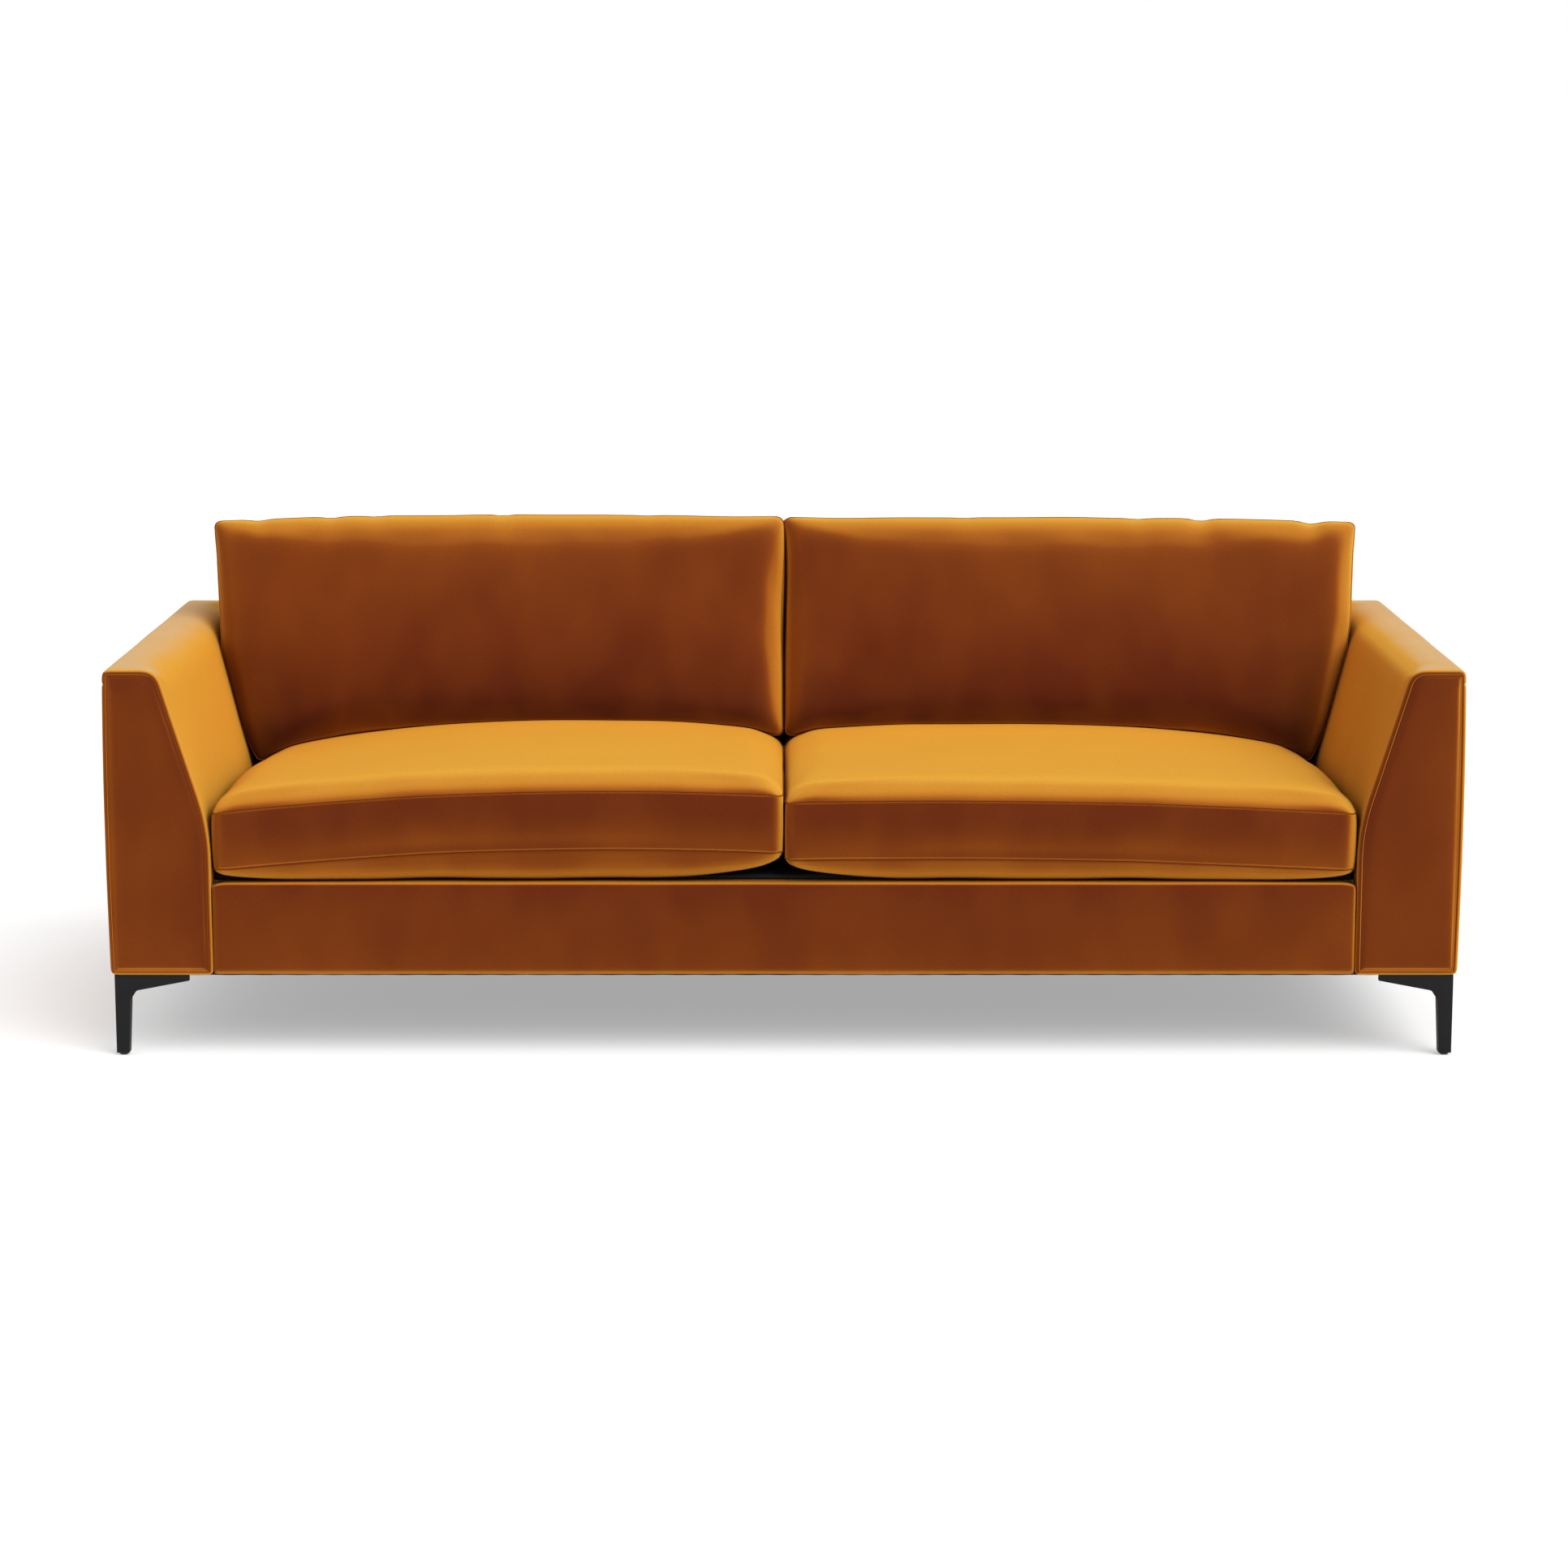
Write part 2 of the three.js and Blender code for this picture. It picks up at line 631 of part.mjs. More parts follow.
// Back cushion: it leans on the back frame and sits on the seat cushion, which shapes its underside
function backCushionPlace() {
  const lean = THREE.MathUtils.degToRad(backCushionLean);
  const bottomLean = THREE.MathUtils.degToRad(backBottomLean);
  const seam = [backInner - backSeamAhead, deckHeight + backSeamHeight];
  // up is the way along the front face from its bottom seam, and depth the way back from that face
  return (up, depth) => {
    const turn = bottomLean + (lean - bottomLean) * (up / backCushionLength);
    const facing = depth < 0 ? lean : turn;
    return [
      seam[0] + up * Math.sin(lean) + depth * Math.cos(facing),
      seam[1] + up * Math.cos(lean) - depth * Math.sin(facing),
    ];
  };
}

function backOuterReach(up) {
  const top = deckHeight + backSeamHeight + backCushionLength;
  const wide = innerSide(armSection, Math.min(top, frameHeight)) - backOuterGapTop;
  const narrow = innerSide(armSection, deckHeight + backSeamHeight) - backOuterGapBottom / 2;
  return narrow + (wide - narrow) * (1 - (1 - up / backCushionLength) ** 2);
}

function backCushionSolid() {
  const halfX = (innerHalf - cushionMiddleGap) / 2 - backBorderBulge;
  const halfY = backCushionLength / 2 - backBorderBulge;
  const lay = backCushionPlace();
  const place = (x, y, part, a, b) => {
    const depths = {
      face: -(backRoll * a + backCrown * b),
      border: backGusset * a,
      under: backGusset + backRearRoll * a + backRearCrown * b,
    };
    const up = backCushionLength / 2 + y;
    const across = (x + halfX + backBorderBulge) / (2 * (halfX + backBorderBulge));
    const reach = cushionMiddleGap + across * (backOuterReach(up) - cushionMiddleGap);
    return [reach, ...lay(up, depths[part])];
  };
  return solidOf(cushionGeometry({
    halfX, halfY, corner: backCornerRadius, drawIn: [backSideDrawIn, -backTopRise], bulge: backBorderBulge,
  }, place));
}

function makeBackCushion(side, sign) {
  const group = new THREE.Group();
  group.scale.x = sign;
  const seat = seatCushionSolid(side).translate([0, 0, backSeatGap]);
  const frame = solidOf(alongX(
    roundedShape(sectionOutline(backSection, -fitGap, floorClearance), sectionRadii), 0, halfWidth));
  const whole = backCushionSolid().subtract(seat).subtract(frame);

  const { thickness, sideWrap, bottomWrap, topWrap, round } = backCore;
  const lay = backCushionPlace();
  const [y, z] = lay(bottomWrap, (backGusset - thickness) / 2);
  const long = backCushionLength - bottomWrap - topWrap;
  const x = [cushionMiddleGap + sideWrap, backOuterReach(bottomWrap) - sideWrap];
  const blockOf = (gap) => roundedBlock([x[0] - gap, x[1] + gap], [-gap, thickness + gap], [-gap, long + gap], round)
    .rotateX(-THREE.MathUtils.degToRad(backCushionLean))
    .translate(0, y, z);
  const slot = new THREE.BoxGeometry(x[1] - x[0] - 2 * zipSlot.endMargin, backGusset, zipSlot.height)
    .translate((x[0] + x[1]) / 2, thickness + backGusset / 2 - round, long / 2)
    .rotateX(-THREE.MathUtils.degToRad(backCushionLean))
    .translate(0, y, z);
  const room = solidOf(blockOf(fitGap)).add(solidOf(slot));
  group.add(
    piece(`back_cushion_cover_${side}`, whole.subtract(room), velvet),
    piece(`back_cushion_core_${side}`, blockOf(0), foam),
  );
  return group;
}

// A leg with its corner at the origin and its wings along +X and +Y, its top at height 0
function legSolid() {
  const metalHeight = legTop - glide.padHeight - fitGap;
  const side = roundedShape([
    [0, -metalHeight],
    [legPostFoot, -metalHeight],
    [legPostTop, -legRootHeight - legFilletHeight],
    [legRootReach, -legRootHeight],
    [legWingLength, -legTipHeight],
    [legWingLength, 0],
    [0, 0],
  ], [0, 0, legFilletHeight / 2, legFilletHeight / 2, 0, 0, 0]);
  const turn = (solid) => solid.mirror([1, -1, 0]);
  const wing = solidOf(alongY(side, 0, legWingThickness));
  const post = solidOf(alongY(side, 0, legPostTop)).intersect(turn(solidOf(alongY(side, 0, legPostTop))));
  const plate = solidOf(alongZ(roundedShape([
    [0, 0], [legWingLength, 0], [legWingLength, legWingThickness], [legWingThickness, legWingLength],
    [0, legWingLength],
  ]), -legPlateThickness, 0));
  let leg = wing.add(turn(wing)).add(post).add(plate);
  for (const [x, y] of screwPlaces) {
    leg = leg.subtract(solidOf(cylinderAt(screw.shankRadius + fitGap, x, y, -cutOverrun, cutOverrun)));
  }
  const socket = cylinderAt(glide.stemRadius + fitGap, legPostFoot / 2, legPostFoot / 2,
    -metalHeight - cutOverrun, -metalHeight + glide.stemLength + fitGap);
  return leg.subtract(solidOf(socket));
}

// Turned pieces: outlines of radius and height, spun about the upright axis
function turned(outline, sides) {
  return new THREE.LatheGeometry(outline.map(([r, z]) => new THREE.Vector2(r, z)), sides).rotateX(Math.PI / 2);
}

function makeLegs() {
  const group = new THREE.Group();
  const leg = geometryOf(legSolid());
  const { padRadius, padHeight, stemRadius, stemLength, edge } = glide;
  const glideShape = turned([
    [0, 0], [padRadius - edge, 0], [padRadius, edge], [padRadius, padHeight], [stemRadius, padHeight],
    [stemRadius, padHeight + stemLength], [0, padHeight + stemLength],
  ], 16);
  const { headRadius, headHeight, shankRadius, length } = screw;
  const screwShape = turned([
    [0, -headHeight], [headRadius * 0.7, -headHeight], [headRadius, -headHeight / 2], [headRadius, 0],
    [shankRadius, 0], [shankRadius, length - shankRadius * 2], [0, length],
  ], 10);
  for (const [sideName, x] of [["left", -1], ["right", 1]]) {
    for (const [endName, y] of [["front", -1], ["back", 1]]) {
      const corner = new THREE.Group();
      corner.position.set(x * (halfWidth - legInset), y * (rear - legInset), 0);
      corner.scale.set(-x, -y, 1);
      const where = `${endName}_${sideName}`;
      const legMesh = piece(`leg_${where}`, leg, blackMetal);
      legMesh.position.z = legTop;
      const glideMesh = piece(`glide_${where}`, glideShape, nylon);
      glideMesh.position.set(legPostFoot / 2, legPostFoot / 2, 0);
      corner.add(legMesh, glideMesh);
      screwPlaces.forEach(([fromSide, fromEnd], i) => {
        const screwMesh = piece(`leg_screw_${where}_${i + 1}`, screwShape, zincSteel);
        screwMesh.position.set(fromSide, fromEnd, legTop - legPlateThickness - fitGap);
        corner.add(screwMesh);
      });
      group.add(corner);
    }
  }
  return group;
}

const sofa = new THREE.Group();
sofa.name = "tuxedo_sofa";
sofa.add(makeBase(), makeFrontBorder(), makeDeck(), makeDustCloth(), makeBack(), makeLegs());
for (const [side, sign] of [["left", -1], ["right", 1]]) {
  sofa.add(
    makeArm(side, sign),
    makeSpringBank(side, sign),
    makeSeatCushion(side, sign),
    makeBackCushion(side, sign),
  );
}

export default sofa;
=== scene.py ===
"""Burnt-orange velvet tuxedo sofa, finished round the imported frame.

Metres, +Z up, the front faces -Y. The script models each soft piece over the solid that it stands for, and
gives the legs, timber, springs and other inner solids their finish.
"""
import json
import math

import bmesh
import bpy
from bpy.props import FloatProperty, FloatVectorProperty, PointerProperty
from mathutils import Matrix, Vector, noise
from mathutils.bvhtree import BVHTree

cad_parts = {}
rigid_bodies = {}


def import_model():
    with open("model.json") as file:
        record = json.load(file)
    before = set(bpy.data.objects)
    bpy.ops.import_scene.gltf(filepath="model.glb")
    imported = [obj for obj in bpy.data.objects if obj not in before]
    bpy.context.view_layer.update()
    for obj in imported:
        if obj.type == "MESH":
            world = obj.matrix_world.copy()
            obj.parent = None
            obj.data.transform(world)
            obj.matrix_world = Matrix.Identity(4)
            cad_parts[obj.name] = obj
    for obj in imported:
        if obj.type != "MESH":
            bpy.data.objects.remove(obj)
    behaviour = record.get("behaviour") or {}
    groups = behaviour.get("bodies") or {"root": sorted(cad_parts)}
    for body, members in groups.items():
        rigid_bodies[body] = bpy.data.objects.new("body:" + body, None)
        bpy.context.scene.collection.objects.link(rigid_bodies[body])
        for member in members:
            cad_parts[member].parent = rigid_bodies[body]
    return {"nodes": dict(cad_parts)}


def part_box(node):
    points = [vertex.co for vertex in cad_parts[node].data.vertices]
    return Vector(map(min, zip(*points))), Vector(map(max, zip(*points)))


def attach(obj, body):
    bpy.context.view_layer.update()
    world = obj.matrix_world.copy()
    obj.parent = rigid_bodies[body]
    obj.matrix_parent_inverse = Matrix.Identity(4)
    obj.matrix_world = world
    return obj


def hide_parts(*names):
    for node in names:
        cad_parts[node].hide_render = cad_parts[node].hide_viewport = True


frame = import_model()

bl_info = {
    "name": "Velvet Tuxedo Sofa",
    "version": (1, 0, 0),
    "blender": (4, 5, 0),
    "location": "3D View > Sidebar > Sofa",
    "description": "Dresses the sofa's frame in velvet covers, cushions, zips and finished metal and timber",
    "category": "Object",
}

MM = 0.001
SIDES = {"left": -1, "right": 1}

# What the frame says: places of the solids that the covers stand for
ARM_LOW, ARM_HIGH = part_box("arm_cover_right")
BACK_LOW, BACK_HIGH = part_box("back_cover")
BORDER_LOW, BORDER_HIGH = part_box("front_border_cover")
# The border's padding is pressed down under the cushions' front edge
BORDER_HIGH.z -= 8 * MM
DECK_LOW, DECK_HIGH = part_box("seat_deck")
SEAT_LOW, SEAT_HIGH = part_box("seat_cushion_cover_right")
DUST_LOW, DUST_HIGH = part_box("dust_cloth")
FRONT, REAR = ARM_LOW.y, ARM_HIGH.y
BOTTOM, TOP = ARM_LOW.z, ARM_HIGH.z
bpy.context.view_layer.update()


def colour(code):
    """An sRGB hex colour as linear numbers, with full cover."""
    shares = [int(code[i:i + 2], 16) / 255 for i in (1, 3, 5)]
    return (*(c / 12.92 if c <= 0.04045 else ((c + 0.055) / 1.055) ** 2.4 for c in shares), 1.0)


def length(name, description, default):
    return FloatProperty(name=name, description=description, default=default, unit="LENGTH", min=0)


def paint(name, description, code):
    return FloatVectorProperty(name=name, description=description, default=colour(code), subtype="COLOR",
                               size=4, min=0, max=1)


class SofaFrameSizes(bpy.types.PropertyGroup):
    """Sizes of the upholstered arms, back and front border"""
    arm_top: length("Arm top", "Width of the arm's flat top", 90 * MM)
    back_top: length("Back top", "Depth of the ledge on top of the back", 92 * MM)
    shoulder: length("Shoulder", "Height where the inner sides start to slant", 388 * MM)
    outer_round: length("Outer edge", "Rounding of the outer top edge", 12 * MM)
    inner_round: length("Inner edge", "Rounding of the inner top edge", 52 * MM)
    panel_corner: length("Panel corner", "Rounding of an end panel's inner top corner", 26 * MM)
    panel_round: length("Panel edge", "Rounding where a side turns on to an end panel", 7 * MM)
    border_round: length("Border corner", "Rounding of the front border's top corners at its ends", 16 * MM)
    border_edge: length("Border edge", "Rounding of the front border's top edge", 6 * MM)
    border_puff: length("Border puff", "How far the front border stands out in its middle", 3 * MM)
    side_swell: length("Side swell", "How far an outer side swells between top and bottom", 3 * MM)
    panel_puff: length("Panel puff", "How far an end panel stands out in its middle", 3 * MM)
    seam_depth: length("Seam depth", "Depth of a sewn seam's groove", 1.6 * MM)
    unevenness: length("Unevenness", "Height of the soft waves in tightly drawn velvet", 0.6 * MM)


class SofaSeatSizes(bpy.types.PropertyGroup):
    """Sizes of the seat cushions"""
    border: length("Border", "Height of the strip between the two seams", 95 * MM)
    low_seam: length("Lower seam", "Height of the lower seam over the deck at the arm", 17.3 * MM)
    corner: length("Corner", "Radius of the corners in plan", 20 * MM)
    draw_in: length("Draw-in", "How far the sides pull in between the corners", 1.5 * MM)
    bulge: length("Border bulge", "How far the border stands out between its seams", 4 * MM)
    roll: length("Roll", "Height of the steep roll just above the seam", 28 * MM)
    crown: length("Crown", "Height of the crown over the roll", 8 * MM)
    zip_room: length("Zip room", "How far the rear border stays off the back for its zip", 3 * MM)


class SofaBackCushionSizes(bpy.types.PropertyGroup):
    """Sizes of the back cushions"""
    seam_ahead: length("Seam ahead", "How far the bottom front seam lies ahead of the back", 180 * MM)
    seam_height: length("Seam height", "Height of the bottom front seam over the deck", 143 * MM)
    face: length("Face", "Length of the front panel from bottom to top", 403 * MM)
    gusset: length("Gusset", "Depth of the strip between the panels", 160 * MM)
    corner: length("Corner", "Radius of the panels' corners", 12 * MM)
    draw_in: length("Draw-in", "How far the sides pull in between the corners", 3 * MM)
    top_rise: length("Top rise", "How far the top edge arches up in the middle", 6 * MM)
    top_lift: length("Top lift", "How far the whole top edge stands over the panel's length", 8 * MM)
    corner_drop: length("Corner drop", "How far the outer bottom corner sinks beside the arm", 46 * MM)
    bulge: length("Gusset bulge", "How far the gusset stands out between its seams", 6 * MM)
    roll: length("Roll", "Depth of the steep roll inside the seam", 23 * MM)
    crown: length("Crown", "Depth of the crown over the roll", 20 * MM)
    pucker: length("Pucker", "How far the gathers pull the top seam down", 4.5 * MM)


class SofaColours(bpy.types.PropertyGroup):
    """Colours of the finishes"""
    facing: paint("Velvet, facing", "The pile seen end on", "#6C2C0F")
    # Painted shade: the velvet's colour in folds, corners and closed places, standing in for the shade there
    painted_fold_shade: paint("Velvet, tucked", "The pile seen end on in a fold or a corner", "#2E1006")
    # Painted sheen: colours that the view angle blends in, orange as the cloth turns away and golden seen
    # from the side
    painted_turning_sheen: paint("Velvet, turning", "The pile where the cloth starts to turn away", "#B5611A")
    painted_grazing_sheen: paint("Velvet, grazing", "The pile seen from the side", "#EBAB3C")
    # Painted highlight: a pale reflection of the sky, painted on faces turned up where they are seen along
    # the cloth
    tips: paint("Velvet, tips", "The very tips of the pile, seen along the cloth", "#E3BC86")
    sheen: paint("Sheen", "Light caught by the tips of the pile", "#E8963C")
    metal: paint("Legs", "Black powder coat", "#151516")
    floor: paint("Floor", "Studio floor", "#E9E9E9")


def sizes():
    return bpy.context.scene.sofa_frame_sizes


def colours():
    return bpy.context.scene.sofa_colours


# Selecting and finishing


def deselect():
    if bpy.context.mode != "OBJECT":
        bpy.ops.object.mode_set(mode="OBJECT")
    bpy.ops.object.select_all(action="DESELECT")


def activate(piece):
    deselect()
    piece.select_set(True)
    bpy.context.view_layer.objects.active = piece


def edit(piece):
    """Opens a piece in edit mode with all of it selected."""
    activate(piece)
    bpy.ops.object.mode_set(mode="EDIT")
    bpy.ops.mesh.select_all(action="SELECT")


def stop_editing():
    bpy.ops.object.mode_set(mode="OBJECT")


def rename(piece, name):
    piece.name = name
    piece.data.name = name
    return piece


def apply_modifier(piece, kind, **settings):
    activate(piece)
    modifier = piece.modifiers.new(kind.title(), kind)
    for name, value in settings.items():
        setattr(modifier, name, value)
    bpy.ops.object.modifier_apply(modifier=modifier.name)


def finer(piece):
    apply_modifier(piece, "SUBSURF", levels=1, render_levels=1)


def in_a_row(piece, count, step):
    """Repeats a piece, each one a step on from the one before."""
    apply_modifier(piece, "ARRAY", count=count, use_relative_offset=False, use_constant_offset=True,
                   constant_offset_displace=step)


def face_outwards(piece):
    edit(piece)
    bpy.ops.mesh.normals_make_consistent(inside=False)
    stop_editing()


def smooth(piece, angle=180):
    activate(piece)
    if angle < 180:
        bpy.ops.object.shade_smooth_by_angle(angle=math.radians(angle))
    else:
        bpy.ops.object.shade_smooth()


def copied(piece, name):
    """A copy with its own mesh."""
    copy = piece.copy()
    copy.data = piece.data.copy()
    copy.parent = None
    bpy.context.collection.objects.link(copy)
    return rename(copy, name)


def turn_over(piece):
    """Puts a right-hand piece on the left of the sofa."""
    activate(piece)
    piece.scale.x = -1
    bpy.ops.object.transform_apply(location=False, rotation=False, scale=True)
    face_outwards(piece)


def joined(pieces):
    """Joins all pieces into the first one."""
    deselect()
    for piece in pieces:
        piece.select_set(True)
    bpy.context.view_layer.objects.active = pieces[0]
    bpy.ops.object.join()
    return pieces[0]


def laid_grid(name, wide, deep, columns, rows, place):
    """A flat grid of that size round a place, left in edit mode."""
    deselect()
    bpy.ops.mesh.primitive_grid_add(x_subdivisions=columns, y_subdivisions=rows, size=1, location=(0, 0, 0))
    piece = rename(bpy.context.object, name)
    edit(piece)
    bpy.ops.transform.resize(value=(wide, deep, 1))
    bpy.ops.transform.translate(value=place)
    return piece


def draw_up(height):
    """Draws the selected cloth up to a thickness."""
    bpy.ops.mesh.extrude_region_move(TRANSFORM_OT_translate={"value": (0, 0, height)})


def rounded_block(name, size, place, edge, segments=2):
    deselect()
    bpy.ops.mesh.primitive_cube_add(size=1, location=(0, 0, 0))
    block = rename(bpy.context.object, name)
    edit(block)
    bpy.ops.transform.resize(value=size)
    bpy.ops.transform.translate(value=place)
    bpy.ops.mesh.bevel(offset=edge, segments=segments, affect="EDGES")
    stop_editing()
    return block


def wear(piece, material):
    piece.data.materials.clear()
    piece.data.materials.append(material)


def place_on(piece, body, slot, *nodes):
    """Says which body the piece rides on and which solids it stands for, which it hides. slot is not used."""
    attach(piece, body)
    if nodes:
        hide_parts(*nodes)


# Materials


# Where the two colours and the result stand among a Mix node's sockets
UNDER, OVER, MIXED = 6, 7, 2


def add(tree, kind, inputs=None, **settings):
    """Adds a node with its settings. Each input is a value, or another node's output."""
    node = tree.nodes.new(kind)
    for name, value in settings.items():
        setattr(node, name, value)
    for name, value in (inputs or {}).items():
        if isinstance(value, bpy.types.NodeSocket):
            tree.links.new(value, node.inputs[name])
        else:
            node.inputs[name].default_value = value
    return node


def start_material(name):
    """An empty material, its node tree and its Object coordinates."""
    material = bpy.data.materials.new(name)
    material.use_nodes = True
    tree = material.node_tree
    tree.nodes.clear()
    return material, tree, add(tree, "ShaderNodeTexCoord").outputs["Object"]


def end_material(material, sockets, relief):
    """Ends a material in one shader with these sockets. relief is the bumps' height, depth and strength."""
    tree = material.node_tree
    if relief:
        height, depth, strength = relief
        bump = add(tree, "ShaderNodeBump", {"Height": height, "Distance": depth, "Strength": strength})
        sockets = {**sockets, "Normal": bump.outputs["Normal"]}
    shader = add(tree, "ShaderNodeBsdfPrincipled", sockets)
    add(tree, "ShaderNodeOutputMaterial", {"Surface": shader.outputs["BSDF"]})
    return material


def per_metre(grain):
    """The texture scale that repeats about once in each grain of that many metres."""
    return 1 / grain


def cloudy(tree, coordinates, grain, low=0.0, high=1.0, detail=2.0):
    """Soft noise of that grain, spread between two values."""
    clouds = add(tree, "ShaderNodeTexNoise",
                 {"Vector": coordinates, "Scale": per_metre(grain), "Detail": detail, "Roughness": 0.5})
    spread = add(tree, "ShaderNodeMapRange", {
        "Value": clouds.outputs["Fac"], "From Min": 0.3, "From Max": 0.7, "To Min": low, "To Max": high})
    return spread.outputs["Result"]


def velvet_material(name, pale_highlight_from, golden=1.0, lit_from=0.14):
    """Cotton velvet, woven and brushed.

    The upright pile is dark rust where it is seen end on. A painted sheen, picked by the view angle, turns it
    orange where the cloth starts to turn away and golden where it is seen from the side; it is painted weaker
    on sides turned to the sofa's left, away from the light, unless they face up. Folds, corners and closed
    places get a painted shade, and the painted sheen fades there. Cloudy patches show where the nap was
    stroked. From pale_highlight_from on, a pale painted highlight, the sky's reflection, shows on faces
    turned up, sooner on the tightly drawn covers. golden is how far the painted sheen turns the cloth golden,
    and lit_from how open a place must be for that.
    """
    material, tree, coordinates = start_material(name)
    palette = colours()
    # The pile is drawn at 2.5 mm, about six times its real grain, so that it shows
    pile = cloudy(tree, coordinates, 2.5 * MM, 0.94, 1.06, detail=3)
    strokes = add(tree, "ShaderNodeMapping", {"Vector": coordinates, "Scale": (1, 1, 0.55)})
    nap = cloudy(tree, strokes.outputs["Vector"], 85 * MM, -0.011, 0.011, detail=1)
    # Painted light from the right: upright sides turned to the sofa's left get only this share of the painted
    # sheen and so stay darker; faces turned up get all of it
    against = 0.34
    normal = add(tree, "ShaderNodeNewGeometry").outputs["Normal"]
    way = add(tree, "ShaderNodeSeparateXYZ", {"Vector": normal}).outputs
    upward, rightward = (
        add(tree, "ShaderNodeMapRange", {"Value": way[axis], "From Min": low, "From Max": high},
            interpolation_type="SMOOTHSTEP").outputs["Result"]
        for axis, low, high in (("Z", 0.5, 1.0), ("X", -0.6, 0.0)))
    toward_the_light = add(tree, "ShaderNodeMath", {0: rightward, 1: upward}, operation="MAXIMUM").outputs["Value"]
    share = add(tree, "ShaderNodeMath", {0: toward_the_light, 1: 1 - against, 2: against}, operation="MULTIPLY_ADD")
    side_on = add(tree, "ShaderNodeLayerWeight", {"Blend": 0.5}).outputs["Facing"]
    painted_sheen_amount = add(tree, "ShaderNodeMath", {0: side_on, 1: share.outputs["Value"], 2: nap},
                  operation="MULTIPLY_ADD").outputs["Value"]
    # How open a place is: the painted shade of folds and corners, and the fading of the painted sheen there,
    # follow it
    open_air = add(tree, "ShaderNodeAmbientOcclusion", {"Distance": 200 * MM}, samples=6).outputs["AO"]
    # Each layer: the colours under and over it, its strength, its curve and the ramps by which it fades in.
    # The first and the last paint shade into closed places, the middle ones paint the sheen and the pale
    # highlight
    layers = (
        (palette.painted_fold_shade, palette.facing, 1.0, "LINEAR", [(open_air, 0.35, 1.0)]),
        (None, palette.painted_turning_sheen, 1.0, "LINEAR",
         [(painted_sheen_amount, 0.0, 0.21), (open_air, lit_from - 0.1, lit_from + 0.3)]),
        (None, palette.painted_grazing_sheen, golden, "LINEAR",
         [(painted_sheen_amount, 0.09, 0.58), (open_air, lit_from, lit_from + 0.33)]),
        (None, palette.tips, upward, "SMOOTHSTEP", [(painted_sheen_amount, pale_highlight_from, pale_highlight_from + 0.13)]),
        (palette.painted_fold_shade, None, 1.0, "LINEAR", [(open_air, 0.0, lit_from + 0.14)]),
    )
    base = None
    for under, over, strength, curve, ramps in layers:
        for value, low, high in ramps:
            ramp = add(tree, "ShaderNodeMapRange", {"Value": value, "From Min": low, "From Max": high},
                       interpolation_type=curve)
            step = add(tree, "ShaderNodeMath", {0: ramp.outputs["Result"], 1: strength}, operation="MULTIPLY")
            strength = step.outputs["Value"]
        mix = add(tree, "ShaderNodeMix", {"Factor": strength, UNDER: under or base, OVER: over or base},
                  data_type="RGBA")
        base = mix.outputs[MIXED]
    shade = add(tree, "ShaderNodeCombineColor", {"Red": pile, "Green": pile, "Blue": pile})
    tone = add(tree, "ShaderNodeMix", {"Factor": 1.0, UNDER: base, OVER: shade.outputs["Color"]},
               data_type="RGBA", blend_type="MULTIPLY")
    return end_material(material, {
        "Base Color": tone.outputs[MIXED], "Roughness": 0.7, "Specular IOR Level": 0.06, "Sheen Weight": 0.15,
        "Sheen Roughness": 0.35, "Sheen Tint": palette.sheen}, relief=(pile, 0.5 * MM, 0.3))


def powder_coat_material():
    """Powder-coated cast metal: matt black with a very fine orange peel."""
    material, tree, coordinates = start_material("black_powder_coat")
    peel = cloudy(tree, coordinates, 1.4 * MM)
    tone = cloudy(tree, coordinates, 25 * MM, 0.85, 1.15)
    grey = add(tree, "ShaderNodeCombineColor", {"Red": tone, "Green": tone, "Blue": tone})
    black = add(tree, "ShaderNodeMix", {"Factor": 1.0, UNDER: grey.outputs["Color"], OVER: colours().metal},
                data_type="RGBA", blend_type="MULTIPLY")
    return end_material(material, {"Base Color": black.outputs[MIXED], "Roughness": 0.6,
                                   "Specular IOR Level": 0.2}, relief=(peel, 0.1 * MM, 0.5))


def timber_material(axis):
    """Planed beech: fine pores and soft growth rings drawn out along the board."""
    material, tree, coordinates = start_material(f"planed_beech_{'xyz'[axis]}")
    along = [1.0, 1.0, 1.0]
    along[axis] = 0.06
    drawn = add(tree, "ShaderNodeMapping", {"Vector": coordinates, "Scale": along}).outputs["Vector"]
    rings = cloudy(tree, drawn, 14 * MM, detail=4)
    pores = cloudy(tree, drawn, 1.5 * MM)
    faint = add(tree, "ShaderNodeMath", {0: pores, 1: 0.35}, operation="MULTIPLY").outputs["Value"]
    wood = colour("#C79F6C")
    for share, code in ((rings, "#A97C4A"), (faint, "#8A6238")):
        darker = {"Factor": share, UNDER: wood, OVER: colour(code)}
        wood = add(tree, "ShaderNodeMix", darker, data_type="RGBA").outputs[MIXED]
    return end_material(material, {"Base Color": wood, "Roughness": 0.65, "Specular IOR Level": 0.35},
                        relief=(pores, 0.15 * MM, 0.6))


def two_toned_material(name, pattern, first, second, sockets, relief=None, rough=None):
    """A material that runs from one tint to another by a pattern.

    The pattern gives the tints' share and the height of its relief, whose depth and strength relief holds.
    rough is the grain and the range of a clouded roughness.
    """
    material, tree, coordinates = start_material(name)
    share, height = pattern(tree, coordinates)
    tone = add(tree, "ShaderNodeMix", {"Factor": share, UNDER: colour(first), OVER: colour(second)},
               data_type="RGBA")
    sockets = {"Base Color": tone.outputs[MIXED], **sockets}
    if rough:
        sockets["Roughness"] = cloudy(tree, coordinates, *rough)
    return end_material(material, sockets, relief and (height, *relief))


